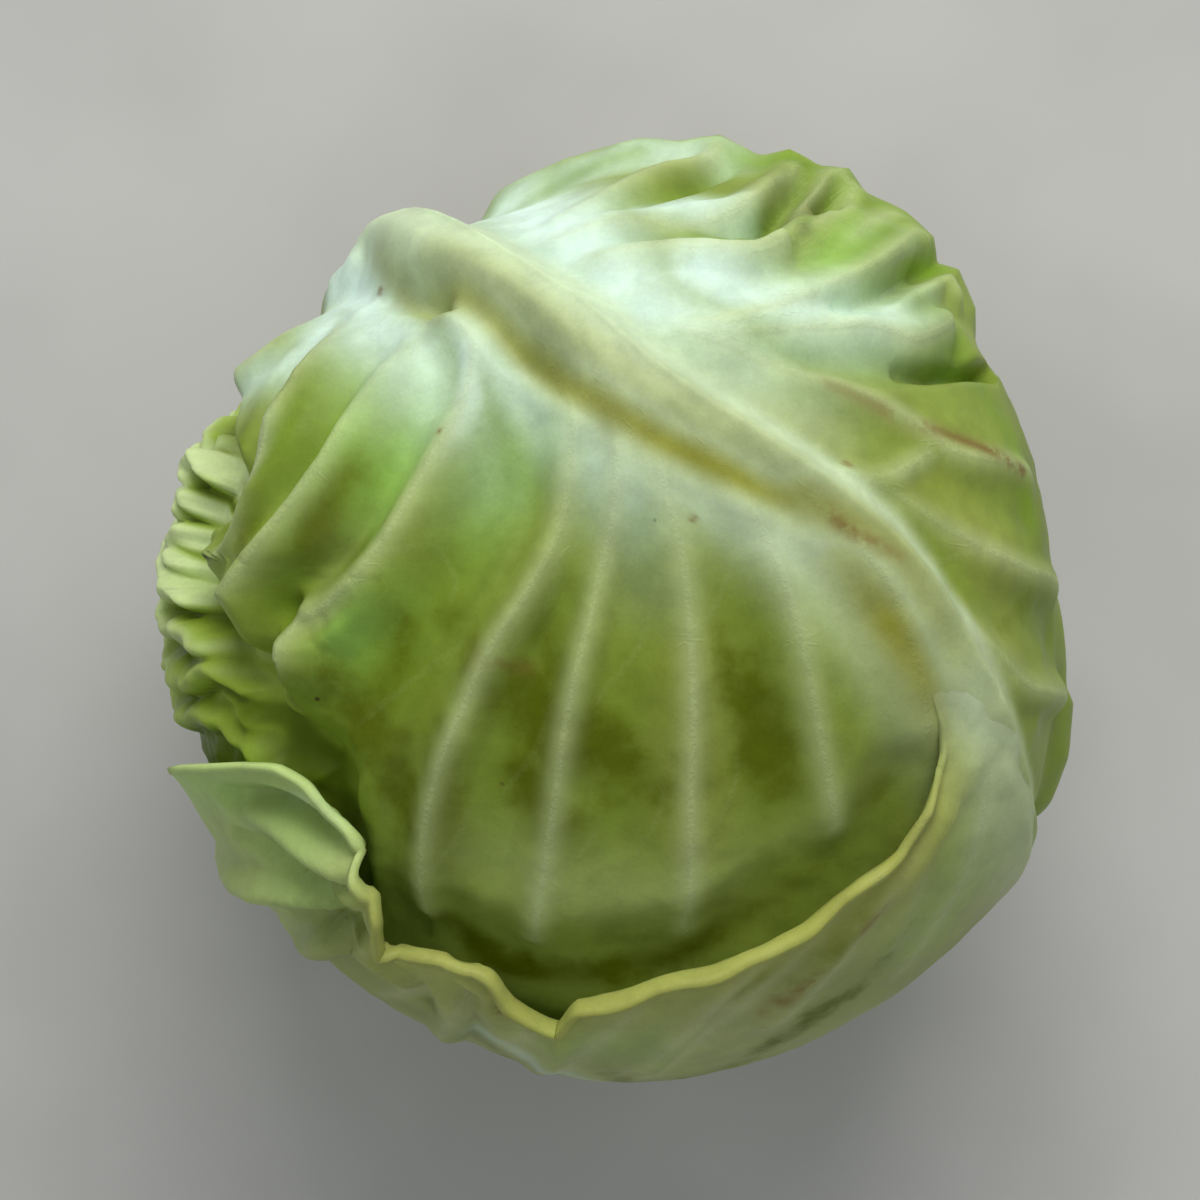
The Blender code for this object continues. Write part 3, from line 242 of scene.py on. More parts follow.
topLeaf = {
    "cells": (216, 216),
    "inset": 2.2,
    "crestStart": ((123, 112), (122.5, 100), (121.5, 90)),
    "crest": (
        (-43, 81), (-34, 81), (-26, 77), (-16, 71), (-4, 63.5), (6, 54.5), (18, 45.5), (30, 37.5),
        (42, 29.5), (52, 21.5), (60, 13.5), (67, 3.5), (73, -8.5), (78, -18.5), (81, -28.5), (83, -38.5),
    ),
    "crestEnd": ((-32, 92), (-38, 102)),
    "crestHeight": (8, 9, 9, 9, 8.5, 8, 8, 7.5, 6.5, 5, 4, 3),
    "slopeWidth": (14, 20, 24, 26, 30, 34, 38, 40, 38, 34, 28, 24),
    "fallWidth": 8.0,
    "fallShares": (0.72, 0.28),        # of the steep fall and of its gentle foot
    "footWidth": 34,
    "undercut": 0.5,
    "secondStart": ((134, 108), (132, 96)),
    "second": (
        (-55, 72), (-46, 73.5), (-38, 71), (-22, 61.5), (-10, 53.5), (2, 42.5), (10, 35.5), (18, 29.5),
        (27, 22.5),
    ),
    "secondHeight": (3, 3.5, 4, 3.5, 2.4, 1),
    "secondWidth": 7,
    "trough": (
        (-42.8, 67.0), (-29.6, 65.6), (-20.2, 57.6), (-10.8, 49.6), (-1.6, 44.2), (7.8, 37.6), (18.4, 32.2),
        (29.2, 27.0), (37.8, 23.2), (47.8, 18.2),
    ),
    "troughDepth": (0.8, 2.2, 2.6, 2.6, 2.4, 2.2, 1.6, 0.8),
    "troughWidth": 6,
    "groove": ((-55, 66.5), (-46, 65.5), (-36, 64), (-26, 61), (-16, 54.5), (-10, 47.5)),
    "grooveDepth": (1, 2.2, 2.2, 1),
    "grooveWidth": 5,
    # path, heights along it, width of its right and of its left flank as one walks along it
    "leftRibs": (
        (((-60, 62), (-70, 54), (-80, 45.5)), (0.5, 3, 4), 6, 8),
        (((-54, 58), (-65, 47), (-75, 31), (-80, 20), (-84, 14), (-87, 7)), (1, 4.5, 7, 7.5, 6, 5), 6, 12),
        (
            ((-37.5, 56.5), (-45.5, 50), (-53, 40.5), (-60, 29.5), (-70, 16.5), (-77, 8), (-79.5, 4),
             (-83, -2)),
            (1, 2.6, 4.5, 6, 7, 6, 5), 5, 15,
        ),
        (
            ((-30, 59.5), (-27, 53), (-29, 45.5), (-32.5, 38.5), (-39, 27), (-44.5, 17.5), (-51, 9),
             (-60, 2), (-66, -1), (-67.5, -8)),
            (2, 2.6, 3, 3.4, 4, 5.5, 6), 5, 11,
        ),
        (
            ((-13, 51.5), (-8, 41.5), (-8, 33.5), (-10, 19.5), (-16, 6.5), (-24, -5.5), (-30, -18.5),
             (-34.5, -29.5), (-37.5, -42.5), (-38.5, -60.5)),
            (1.5, 2.6, 2.8, 2.6, 2.4, 1.6), 4.5, 6.5,
        ),
        (
            ((-2, 43.5), (1, 33.5), (0, 19.5), (-3, 5.5), (-6, -6.5), (-9, -20.5), (-11, -34.5),
             (-13, -48.5), (-16, -66.5)),
            (1.2, 2, 2.2, 2, 1.6, 1), 4.5, 5.5,
        ),
        (
            ((6, 37.5), (10, 25.5), (14, 11.5), (16, -4.5), (16.5, -20.5), (16, -36.5), (16, -50.5),
             (15.5, -64.5)),
            (1, 1.6, 1.8, 1.8, 1.4, 1), 8, 8,
        ),
        (
            ((18, 31.5), (27, 19.5), (34, 5.5), (38, -6.5), (41, -20.5), (44, -34.5), (46, -42.5)),
            (0.8, 1.3, 1.2, 0.8), 5, 6,
        ),
        (((36, 23.5), (48, 11.5), (55, -0.5), (59, -12.5), (61, -20.5)), (0.8, 1.2, 0.8), 5, 5),
    ),
    "leftHollows": (
        (((-58, 48), (-64, 37), (-72, 24), (-78, 14)), (0.5, 3, 5, 5), 7, 7),
        (((-68, 55), (-75, 46), (-82, 38)), (0.5, 2.5, 3), 5, 5),
        (((-42, 42), (-48, 30), (-58, 14), (-66, 4)), (0.5, 2, 3, 3), 9, 9),
        (((-50, 6), (-59, -1), (-64, 1)), (1, 4, 3), 5, 5),
        (((-22, 48), (-22, 32), (-28, 15), (-38, -2), (-50, -16), (-57, -24)), (1, 2.6, 2.6, 2, 1.5), 12, 12),
        (((-5, 30), (-8, 8), (-16, -12), (-22, -30), (-26, -50)), (0.5, 1.5, 1.6, 1.2), 8, 8),
        (((6, 20), (5, -5), (2, -30), (0, -55)), (0.5, 1.4, 1.4, 1), 9, 9),
        (((28, 12), (30, -8), (32, -30), (32, -50)), (0.5, 1.5, 1.8, 1.5), 11, 11),
        (
            ((-44, -60), (-30, -64), (-14, -70), (5, -68), (20, -64), (38, -56), (50, -46), (58, -34)),
            (3, 3.5, 3.5, 2), 13, 13,
        ),
    ),
    "rightRibs": (
        (((-10, 80), (1, 86.5), (11.5, 91), (19, 92.5), (22, 96)), (1.2, 2, 3, 3.5), 5, 5),
        (((-10, 75.5), (1, 80), (13.5, 81.5), (21, 83.5), (29, 85.5), (37, 90)), (1.2, 2, 3.5, 4), 5, 7),
        (((-4.5, 71.5), (4, 74), (15, 75.5), (23.5, 75.5), (33.5, 75)), (1.2, 2, 3, 3.5), 6, 4),
        (((33.5, 75), (37.5, 82), (40, 87), (45, 90.5), (49, 88.5), (50.5, 86)), (3, 5, 5, 4), 4, 4),
        (((36.5, 75.5), (41.5, 79.5), (47, 83), (48, 85)), (1.5, 3, 3), 6, 3),
        (((48, 76), (54, 80), (58, 82)), (2, 3, 2), 6, 6),
        (((36, 65), (45.5, 68), (54.5, 72.5), (60.5, 76.5), (64, 78)), (1.5, 3.5, 4.5), 5, 7),
        (((60, 66), (67, 69.5), (70, 66)), (1.5, 3.5, 3.5), 6, 5),
        (((16, 58), (28, 61), (40, 64)), (1, 1.6, 1), 6, 6),
        (((18, 55.5), (29, 57.5), (46, 59), (52, 59.5), (63, 57.5), (70, 60.5)), (1, 2, 3, 4), 8, 6),
        (
            ((14, 56), (34, 50), (44.5, 47.5), (55, 43), (64, 37.5), (71, 33), (84, 29.5)),
            (0.6, 0.9, 1.1, 1), 6, 4,
        ),
        (((47, 28), (55, 28), (64, 33)), (0.8, 1.2, 0.8), 4, 4),
        (
            ((48, 27.5), (54, 25.5), (66, 18.5), (76.5, 13), (84.5, 9.5), (89.5, 7)),
            (0.5, 0.8, 1.1, 1.2), 7, 5,
        ),
        (((70, -0.5), (82, -12.5), (87.5, -14.5), (93, -16)), (0.8, 1.6, 3), 6, 6),
    ),
    "rightHollows": (
        (((2, 82.5), (10, 85), (16, 87), (24, 89)), (1, 3, 3), 5, 5),
        (((2, 76.5), (10, 78), (18, 79.5), (26, 79), (33, 79.5), (38, 85)), (1, 3.2, 6.5, 7, 5), 5.5, 5.5),
        (((42, 81), (46, 84.5)), (5, 6), 4, 4),
        (((46, 62), (55, 66), (62, 68.5), (66, 73)), (1.5, 3.5, 5, 5), 4.5, 4.5),
        (((30, 53), (44, 53), (58, 52), (70, 54)), (1, 2.5, 3.5), 8, 8),
        (((59, 50), (65, 49.6), (76, 49)), (2, 5.5, 6), 3, 3),
        (((50, 40), (66, 28), (82, 22)), (0.5, 1.1, 1.2), 9, 9),
        (((62, 14), (74, 4), (88, -2)), (0.5, 1.1, 1.5), 9, 9),
    ),
    "marginLeft": (
        (-78.4, 38.4), (-75.8, 33.6), (-75.6, 29), (-77, 26), (-80.2, 20.6), (-83, 17.6), (-83.8, 14.6),
        (-83, 11.8), (-81.2, 9), (-79.8, 6.4), (-79.4, 3.2), (-78.2, -0.6), (-75.4, -4.2), (-69.6, -8.4),
        (-67, -9.4), (-66, -13.6), (-64.4, -16.4), (-61, -21.5), (-55, -26), (-52, -31.5), (-52, -37),
        (-49, -50),
    ),
    "marginHidden": (
        (-121, 68), (-110, 71), (-95, 71), (-80, 71), (-66, 74), (-56, 84), (-46, 98), (-39, 104),
    ),
    "marginRight": (
        (-28, 98), (-15, 93), (0, 90), (20, 88), (40, 86), (60, 85), (80, 86), (100, 90), (112, 101),
    ),
    "marginBase": ((119, 110), (127, 111), (134, 103), (141, 92), (147, 81), (150.6, 75)),
    "edgeOutline": (
        (83, -48), (87.8, -38), (91.8, -28), (92.8, -17), (91.4, -14), (90.5, 0), (88, 9.6), (85.8, 23.6),
        (84.8, 31.6), (81.8, 39.6), (77.8, 48.6), (69.8, 49.6), (72.8, 54.6), (73, 62), (69.8, 70),
        (65.4, 71.2), (64.8, 76.6), (58.8, 81.6), (50.8, 85.6), (47.8, 90.2), (41.8, 90.6), (35.8, 94),
        (29.8, 92.6), (21.8, 96.8), (13.8, 95.6), (5.8, 96.4), (-4.2, 93.6), (-16.2, 89.2), (-24.2, 84.6),
        (-28.5, 80.6),
    ),
    "edgeTurns": (-32, -22, 104, 112),     # where that outline starts and stops to hold
    "edgeInset": 0.3,
    "foldTurns": (140, 152, 220, 232),     # where the left rim folds under
    "foldDepth": 3.6,
    "foldWidth": 8,
    "deepest": -6.0,                   # no hollow goes deeper
    "rough": ((0.35, 9.0, 3.0), (0.16, 3.6, 8.0)),     # height, size and seed of each noise
    "paintInset": {"midribShade": -3.5},
    "crowdAcross": ((0.36, 0.16, 0.9), (0.1, 0.5, 0.5)),
    "veinWidth": 2.6,
    "veinStrength": (0.5, 1, 0.9),
    "fineStrength": (0.2, 0.3, 0.1),
    "fineVeins": (
        ((-53.2, 5.6), (-47.8, 11.6), (-39.2, 14.6), (-34.2, 19.6)),
        ((-51.8, -21.4), (-43.2, -14.4), (-34.2, -7.4), (-29.8, -4.4)),
        ((-36.2, 14.6), (-33.4, 7.6), (-35.0, 1.6)),
        ((-18.2, -4.4), (-12.6, 3.6), (-10.2, 11.6)),
        ((-22.2, -36.4), (-16.2, -28.4), (-13.2, -20.4)),
        ((-2.2, -16.4), (5.8, -6.4), (8.8, 3.6)),
        ((15.8, -4.4), (21.8, 3.6), (24.8, 11.6)),
        ((5.8, -48.4), (9.8, -40.4), (10.8, -32.4)),
        ((21.8, -42.4), (25.8, -34.4), (26.2, -26.4)),
        ((37.8, -4.4), (43.8, -0.4), (47.8, 3.6)),
        ((-56.2, 29.6), (-52.2, 35.6), (-45.2, 40.6)),
        ((53.8, 27.6), (61.8, 29.6), (69.8, 35.6)),
        ((57.8, 11.6), (67.8, 11.6), (77.8, 15.6)),
        ((-10.2, -52.4), (-4.2, -46.4), (-2.2, -40.4)),
        ((-62.2, -4.4), (-54.2, 1.6), (-50.2, 5.6)),
        ((5.8, 77.6), (13.8, 73.6), (21.8, 73.6)),
        ((29.8, 71.6), (37.8, 73.6), (47.8, 75.6)),
        ((-38.2, -52.4), (-32.2, -46.4), (-28.2, -36.4)),
    ),
    # olive: dark olive strokes, partly the leaf's own olive and partly painted shade on shaded flanks and in
    # fold valleys
    # path, width, strength along it
    "oliveAndShade": (
        (((47.8, 8.6), (57.8, -4.4), (65.8, -18.4)), 4.5, (0.5, 0.9, 0.7)),
        (((70.8, -24.4), (74.8, -34.4), (75.8, -46.4)), 5, (0.4, 0.5, 0.4)),
        (((-18.2, 11.6), (-13.2, -4.4), (-10.2, -20.4), (-11.2, -34.4)), 5, (0.3, 0.7, 0.8, 0.6)),
        (((13.8, 3.6), (17.8, -16.4), (18.8, -34.4)), 5, (0.3, 0.6, 0.6)),
        (((-46.2, 11.6), (-44.2, -4.4), (-47.8, -16.4)), 6, (0.3, 0.6, 0.6)),
        (((49.8, 3.6), (59.8, -12.4), (69.8, -32.4)), 8, (0.3, 0.5, 0.5)),
        (((49.8, 73.6), (57.8, 75.6), (62.8, 71.2)), 4, (0.3, 0.6, 0.5)),
        (((17.8, 79.2), (29.8, 78.0), (37.8, 78.6)), 3, (0.3, 0.9, 1)),
        (((69.8, 3.6), (77.8, -0.4), (85.8, 3.6)), 6, (0.2, 0.4, 0.3)),
        (((-28.2, -12.4), (-16.2, -19.4), (-2.2, -28.4), (8.8, -34.4)), 10, (0.5, 1, 1, 0.7)),
        (((-36.2, 3.6), (-29.2, -6.4), (-23.2, -16.4)), 7, (0.3, 0.7, 0.8)),
        (((-36.2, -24.4), (-34.2, -42.4), (-31.8, -56.4)), 8, (0.6, 0.9, 0.7)),
        (((-18.2, -34.4), (-10.2, -44.4), (-2.2, -52.4)), 8, (0.9, 0.8, 0.3)),
        (((24.8, -4.4), (29.8, -16.4), (32.8, -28.4), (37.8, -38.4)), 9, (0.5, 1, 1, 0.6)),
        (((10.8, -14.4), (13.8, -28.4), (15.8, -40.4)), 6, (0.3, 0.6, 0.4)),
        (((17.8, 19.6), (29.8, 17.6), (43.8, 9.6)), 8, (0.3, 0.5, 0.3)),
        (((53.8, -4.4), (58.8, -20.4), (51.8, -36.4)), 7, (0.3, 0.9, 0.8)),
        # painted shade along the blade under the lip
        (
            ((-34.2, -63.4), (-22.2, -73.4), (5.8, -73.8), (29.8, -62.8), (47.8, -50.0), (58.8, -36.4),
             (61.2, -24.8)),
            4.5, (0.7, 0.9, 0.9, 0.7, 0.45, 0.3, 0.3),
        ),
        (((-63.2, 3.6), (-56.2, 11.6), (-46.2, 17.6)), 6, (0.6, 0.7, 0.4)),
        (((-62.2, 11.6), (-56.2, 23.6), (-51.2, 32.6)), 4.5, (0.8, 0.8, 0.4)),
        (((-74.6, 11.6), (-70.2, 23.6), (-64.6, 33.6)), 3.6, (0.7, 0.7, 0.4)),
        (((-79.2, 29.6), (-75.2, 39.6), (-69.8, 47.6)), 3, (0.5, 0.6, 0.3)),
        (((-64.2, -4.4), (-56.2, -16.4), (-47.2, -28.4), (-39.2, -42.4)), 8, (0.5, 0.8, 0.9, 0.8)),
        (((-53.2, -25.4), (-43.4, -24.8)), 4, (0.9, 0.8)),
        (
            ((-10.2, 55.6), (5.8, 37.6), (21.8, 23.6), (37.8, 11.6), (51.8, -0.4)),
            4, (0.2, 0.5, 0.6, 0.6, 0.5),
        ),
        (((33.8, 79.2), (39.8, 82.6), (42.2, 86.6)), 3.5, (0.8, 1, 0.6)),
    ),
    # pale: whitish patches, partly the leaf's own waxy pale tone and partly a painted highlight on the upper,
    # lit slopes
    "paleAndHighlight": (
        (((-53.2, 67.6), (-42.2, 54.6), (-32.2, 43.6), (-26.2, 31.6)), 11, (1, 1, 0.7, 0.2)),
        (((-26.2, 57.6), (-14.2, 43.6), (-4.2, 29.6)), 8, (0.9, 0.7, 0.3)),
        (((-28.2, 53.6), (-28.6, 43.6), (-32.2, 33.6)), 4, (0.9, 0.8, 0.3)),
        (((-74.2, 47.6), (-62.2, 55.6), (-56.2, 63.6)), 8, (0.6, 0.8, 1)),
        (((-22.2, 83.6), (-2.2, 71.6), (17.8, 57.6), (37.8, 43.6)), 13, (1, 1, 0.85, 0.25)),
        (((-10.2, 43.6), (-2.2, 32.6), (5.8, 20.6), (8.8, 9.6)), 9, (0.6, 0.6, 0.45, 0.15)),
        (((7.8, 29.6), (21.8, 21.6), (35.8, 13.6), (47.8, 5.6)), 5, (0.4, 0.4, 0.2, 0)),
        (((-62.2, 57.6), (-53.2, 63.6), (-42.2, 57.6), (-38.2, 49.6)), 9, (0.5, 0.7, 0.6, 0.3)),
        (((-10.2, 89.6), (5.8, 93.6), (21.8, 91.6)), 7, (0.7, 0.8, 0.7)),
        (((17.8, 71.6), (33.8, 63.6), (47.8, 61.6), (63.8, 63.6)), 9, (0.9, 0.8, 0.8, 0.5)),
        (((5.8, 83.6), (21.8, 83.6), (29.8, 80.6)), 5, (0.8, 0.9, 0.5)),
        (((-68.2, 39.6), (-72.2, 31.6), (-76.2, 23.6)), 3, (0.3, 0.5, 0.3)),
    ),
    "bloom": (
        (((58.8, -14.4), (54.2, -28.4), (43.8, -42.4), (25.8, -53.4)), 6, (0.3, 0.5, 0.5, 0.4)),
        (((-28.2, -50.4), (-10.2, -55.4), (7.8, -57.4), (25.8, -52.4)), 9, (0.6, 0.95, 0.95, 0.6)),
        (((-62.2, -6.4), (-58.2, 10.6), (-50.2, 22.6)), 4, (0.4, 0.5, 0.3)),
    ),
    "fresh": (
        (((-43.2, 57.6), (-50.2, 43.6), (-55.2, 31.6), (-62.2, 19.6)), 6, (0.2, 0.8, 0.8, 0.3)),
        (((-37.2, 47.6), (-42.2, 35.6), (-50.2, 21.6), (-56.2, 11.6)), 7, (0.5, 0.9, 0.9, 0.4)),
        (((-18.2, 37.6), (-22.2, 27.6), (-28.2, 17.6)), 7, (0.5, 0.8, 0.4)),
        (((-46.2, 3.6), (-54.2, -4.4), (-58.2, -12.4)), 7, (0.5, 0.9, 0.5)),
        (((-10.2, 39.6), (-14.2, 29.6)), 5, (0.5, 0.3)),
        (((43.8, 71.6), (53.8, 77.6), (59.8, 73.6)), 6, (0.7, 0.9, 0.7)),
        (((29.8, 57.6), (41.8, 63.6), (53.8, 59.6)), 6, (0.3, 0.7, 0.6)),
    ),
    "green": (
        (((17.8, 79.2), (29.8, 78.4), (38.8, 79.2)), 2.8, (0.6, 1, 1)),
        (((-22.2, 87.6), (-10.2, 93.6), (5.8, 95.4)), 3, (0.4, 0.6, 0.6)),
        (
            ((21.8, 95.6), (35.8, 93.2), (47.8, 87.6), (57.8, 81.6), (65.8, 71.6)),
            4, (0.6, 0.8, 0.8, 0.8, 0.8),
        ),
        (((47.8, 83.6), (53.8, 76.6), (49.8, 71.2)), 5, (0.5, 0.8, 0.6)),
        (((63.8, 63.6), (70.8, 57.6), (67.8, 53.6)), 6, (0.6, 0.8, 0.6)),
        (((75.8, 46.6), (81.8, 37.6), (86.8, 19.6)), 5, (0.6, 0.7, 0.5)),
        (((-56.2, 47.6), (-62.2, 35.6), (-68.6, 23.6)), 6, (0.3, 0.4, 0.3)),
    ),
    "warm": (
        (((-10.2, 11.6), (17.8, -16.4), (21.8, -56.4)), 16, (0.2, 0.4, 0.3)),
        (((43.8, 19.6), (63.8, -4.4), (74.8, -24.4), (69.8, -48.4)), 12, (0.3, 0.8, 0.9, 0.7)),
        (((57.8, 35.6), (73.8, 19.6), (81.8, -0.4)), 12, (0.3, 0.5, 0.4)),
        (((17.8, 51.6), (29.8, 42.6), (45.8, 35.6)), 7, (0.5, 0.8, 0.6)),
        (((15.8, -4.4), (15.8, -28.4), (16.8, -56.4)), 5, (0.3, 0.6, 0.7)),
    ),
    "stain": (
        (((37.8, 23.6), (43.8, 17.6), (53.8, 11.6)), 1.6, (0.5, 0.8, 0.4)),
        (((43.8, 47.6), (59.8, 40.6), (71.8, 36.6), (83.8, 29.6)), 1.6, (0.4, 0.6, 0.9, 0.9)),
        (((60.6, 49.6), (70.6, 49.2)), 1.4, (0.7, 0.9)),
        (((-78.6, 6.4), (-77.8, 4.4)), 1.2, (1, 0.8)),
        (((-26.6, -6.4), (-18.2, -10.4)), 2.0, (0.2, 0.4)),
    ),
    "stainDots": (
        (-47.4, 67.0), (-42.8, 66.4), (-34.2, 37.2), (47.2, 31.0), (41.0, 20.2), (20.0, -25.4), (69.8, -19.6),
        (15.8, 19.6), (-10.2, -16.4),
    ),
    "dotWidth": 0.75,
    "midribShade": (
        (((46.8, 11.6), (57.2, -2.8), (64.8, -17.4), (67.8, -28.4)), 4.5, (0.6, 1, 0.8, 0.3)),
        (
            ((-42.8, 67.0), (-29.6, 65.2), (-20.2, 57.6), (-10.8, 49.6), (-2.8, 43.8), (7.8, 37.2),
             (18.4, 31.8), (29.2, 26.4), (37.8, 23.2)),
            3.4, (0.3, 0.7, 0.8, 0.9, 0.9, 0.9, 1, 1, 0.8),
        ),
        (
            ((37.2, 24.2), (47.8, 19.0), (57.2, 12.2), (62.4, 4.2), (68.8, -6.4)),
            4.5, (0.8, 0.8, 0.7, 0.6, 0.4),
        ),
        (
            ((-34.2, 71.2), (-22.2, 65.6), (-10.2, 56.6), (5.8, 46.6), (21.8, 37.6), (35.8, 29.6)),
            4.5, (0.3, 0.45, 0.45, 0.45, 0.5, 0.4),
        ),
        (((-47.8, 72.6), (-42.2, 66.6), (-34.2, 63.6)), 3, (0.4, 0.6, 0.6)),
    ),
}
for dotX, dotY in topLeaf["stainDots"]:        # each dot is a very short stroke
    topLeaf["stain"] += ((((dotX, dotY), (dotX + 0.4, dotY - 0.2)), topLeaf["dotWidth"], (1, 1)),)


def crestLine():
    ends = topLeaf["crestStart"], topLeaf["crestEnd"]
    return lineOnHead(topLeaf["crest"], *ends, topLeaf["crestHeight"], topLeaf["inset"])


def midribRelief(place):               # sharp crest: steep towards the right blade, long slope to the left
    crest = crestLine()
    distance, along = measure(place, crest, 60)
    height = levelAt(topLeaf["crestHeight"], along)
    slope = np.clip(-distance / levelAt(topLeaf["slopeWidth"], along), 0, 1)
    fall = np.clip(distance / topLeaf["fallWidth"], 0, 1)
    left = (1 - slope) ** 1.5
    steep, gentle = topLeaf["fallShares"]
    right = steep * (1 - fall) ** 1.6 + gentle * np.clip(1 - distance / topLeaf["footWidth"], 0, 1) ** 2
    relief = height * np.where(distance < 0, left, right)
    wide = topLeaf["troughWidth"]
    lower = rib(place, lineOnHead(topLeaf["trough"], height=3), topLeaf["troughDepth"], wide, wide)
    wide = topLeaf["grooveWidth"]
    lower += rib(place, lineOnHead(topLeaf["groove"]), topLeaf["grooveDepth"], wide, wide)
    wide = topLeaf["secondWidth"]
    second = lineOnHead(topLeaf["second"], topLeaf["secondStart"])
    return relief + rib(place, second, topLeaf["secondHeight"], wide, wide) - lower


def edgeRadius(azimuth, polar):        # how far out the right margin stands, to draw its ragged outline
    spot = np.array(topLeaf["edgeOutline"], float)
    turn = np.degrees(np.arctan2(spot[:, 1], spot[:, 0]))
    across = np.interp(azimuth, turn, np.hypot(spot[:, 0], spot[:, 1]))
    tip = np.radians(polar)
    eye = cabbage["eyeHeight"]
    return across * eye / (eye * np.sin(tip) + across * np.cos(tip))


def bladeRelief(place):
    relief = midribRelief(place)
    leftRise = ribs(place, topLeaf["leftRibs"], undercut=topLeaf["undercut"])
    relief += leftRise - ribs(place, topLeaf["leftHollows"], rising=False)
    relief += ribs(place, topLeaf["rightRibs"]) - ribs(place, topLeaf["rightHollows"], rising=False)
    return np.maximum(relief, topLeaf["deepest"])


def topMargin():                       # polar angle of the top leaf's margin by azimuth
    lift = 0.0
    for _ in range(3):
        azimuth, polar = seenAngles(topLeaf["marginLeft"], lift)
        direction = unit(azimuth, polar)
        lift = bladeRelief(direction * headRadius(direction)[:, None]) - topLeaf["inset"]
    shown = tuple(zip(azimuth, np.minimum(polar + 1.0, 71)))
    return turnTable(shown + topLeaf["marginHidden"] + topLeaf["marginRight"] + topLeaf["marginBase"])


topOutline = topMargin()


def topRadius(direction):
    azimuth, polar = angles(direction)
    base = headRadius(direction)
    radius = base - topLeaf["inset"] + bladeRelief(direction * base[:, None])
    toEdge = (lookUp(topOutline, azimuth) - polar) * np.radians(1) * base
    turn = np.mod(azimuth, 360)
    folded = between(topLeaf["foldTurns"], turn) * np.clip(1 - toEdge / topLeaf["foldWidth"], 0, 1) ** 2
    radius -= topLeaf["foldDepth"] * folded
    outward = between(topLeaf["edgeTurns"], azimuth) * ease(16, 2, toEdge)
    return radius * (1 - outward) + (edgeRadius(azimuth, polar) - topLeaf["edgeInset"]) * outward


def crowd(count, peaks):               # places from -1 to 1 that lie closer together round some values
    fine = np.linspace(-1, 1, 1601)
    weight = np.ones(len(fine))
    for middle, width, extra in peaks:
        weight += extra * np.exp(-(((fine - middle) / width) ** 2))
    run = np.concatenate([[0], np.cumsum((weight[1:] + weight[:-1]) / 2)])
    return np.interp(np.linspace(0, 1, count + 1), run / run[-1], fine)


def gridMesh(name, cells):             # flat grid from -1 to 1 and the place of each vertex on it
    mesh = bpy.data.meshes.new(name)
    shape = bmesh.new()
    bmesh.ops.create_grid(shape, x_segments=cells[0], y_segments=cells[1], size=1)
    shape.to_mesh(mesh)
    shape.free()
    spots = np.empty(len(mesh.vertices) * 3)
    mesh.vertices.foreach_get("co", spots)
    return mesh, spots.reshape(-1, 3)[:, :2].copy()


def putPoints(mesh, points):
    moved = (points + np.array(cabbage["middle"])) * 0.001
    mesh.vertices.foreach_set("co", moved.ravel())
    mesh.update()


def addField(mesh, name, values):      # one number a vertex, read by the materials
    field = mesh.attributes.get(name) or mesh.attributes.new(name, "FLOAT", "POINT")
    field.data.foreach_set("value", np.asarray(values, np.float32))


def discSpots(spots):                  # turn and share of the radius when the square grid becomes a disc
    s, t = spots[:, 0], spots[:, 1]
    x = s * np.sqrt(1 - t**2 / 2)
    y = t * np.sqrt(1 - s**2 / 2)
    return np.arctan2(y, x), np.hypot(x, y)


def discAngles(spots, turn, outline):  # spreads a square grid over a round leaf
    around, share = discSpots(spots)
    azimuth = np.degrees(around) + turn
    middle = np.mean(outline[:, 1])
    return azimuth, share * (middle + (lookUp(outline, azimuth) - middle) * share**0.9)


pieces = {}                            # the finished leaves by material slot


def newPiece(name, mesh, node, flip=False):
    if flip:
        mesh.flip_normals()
    piece = bpy.data.objects.new(name, mesh)
    bpy.context.scene.collection.objects.link(piece)
    mesh.shade_smooth()
    thickness = piece.modifiers.new("Thickness", "SOLIDIFY")
    thickness.thickness = cabbage["leafThickness"] * 0.001
    thickness.offset = -1
    thickness.use_even_offset = False
    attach(piece, "root")
    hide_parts(node)
    pieces.setdefault(node, []).append(piece)
    return piece


def roughly(points, size, seed):       # smooth noise from -1 to 1 at points, with bumps of the given size
    moved = points / size + seed
    return np.array([noise.noise(Vector(spot)) for spot in moved])


def roughened(points, listed):
    return sum(height * roughly(points, size, seed) for height, size, seed in listed)


def buildBlade():
    mesh, spots = gridMesh("topLeafBlade", topLeaf["cells"])
    even = np.linspace(-1, 1, topLeaf["cells"][1] + 1)
    spots[:, 1] = np.interp(spots[:, 1], even, crowd(topLeaf["cells"][1], topLeaf["crowdAcross"]))
    azimuth, polar = discAngles(spots, -45, topOutline)
    direction = unit(azimuth, polar)
    base = headRadius(direction)
    place = direction * base[:, None]
    radius = topRadius(direction)
    radius += roughened(place, topLeaf["rough"])
    putPoints(mesh, direction * radius[:, None])
    toEdge = (lookUp(topOutline, azimuth) - polar) * np.radians(1) * base
    paintLeaf(mesh, place, azimuth, toEdge)
    return newPiece("top_leaf_blade", mesh, "top_leaf")


def patches(place, listed, inset=0.0):     # 1 along soft strokes: path, width, strength along it
    found = np.zeros(len(place))
    for points, width, strength in listed:
        found = np.maximum(found, stroke(place, lineOnHead(points, inset=inset), width, strength))
    return found


def addVeins(mesh, place, lines):      # distance to the nearest fine vein, for a sharp pale line
    across = np.full(len(place), 50.0)
    strength = np.zeros(len(place))
    for line, level in lines:
        gap, part = measure(place, line, 6)
        closer = np.abs(gap) < np.abs(across)
        across[closer] = gap[closer]
        strength[closer] = levelAt(level, part[closer])
    addField(mesh, "veinAcross", across)
    addField(mesh, "veinNear", np.abs(across))
    addField(mesh, "veinStrength", strength)


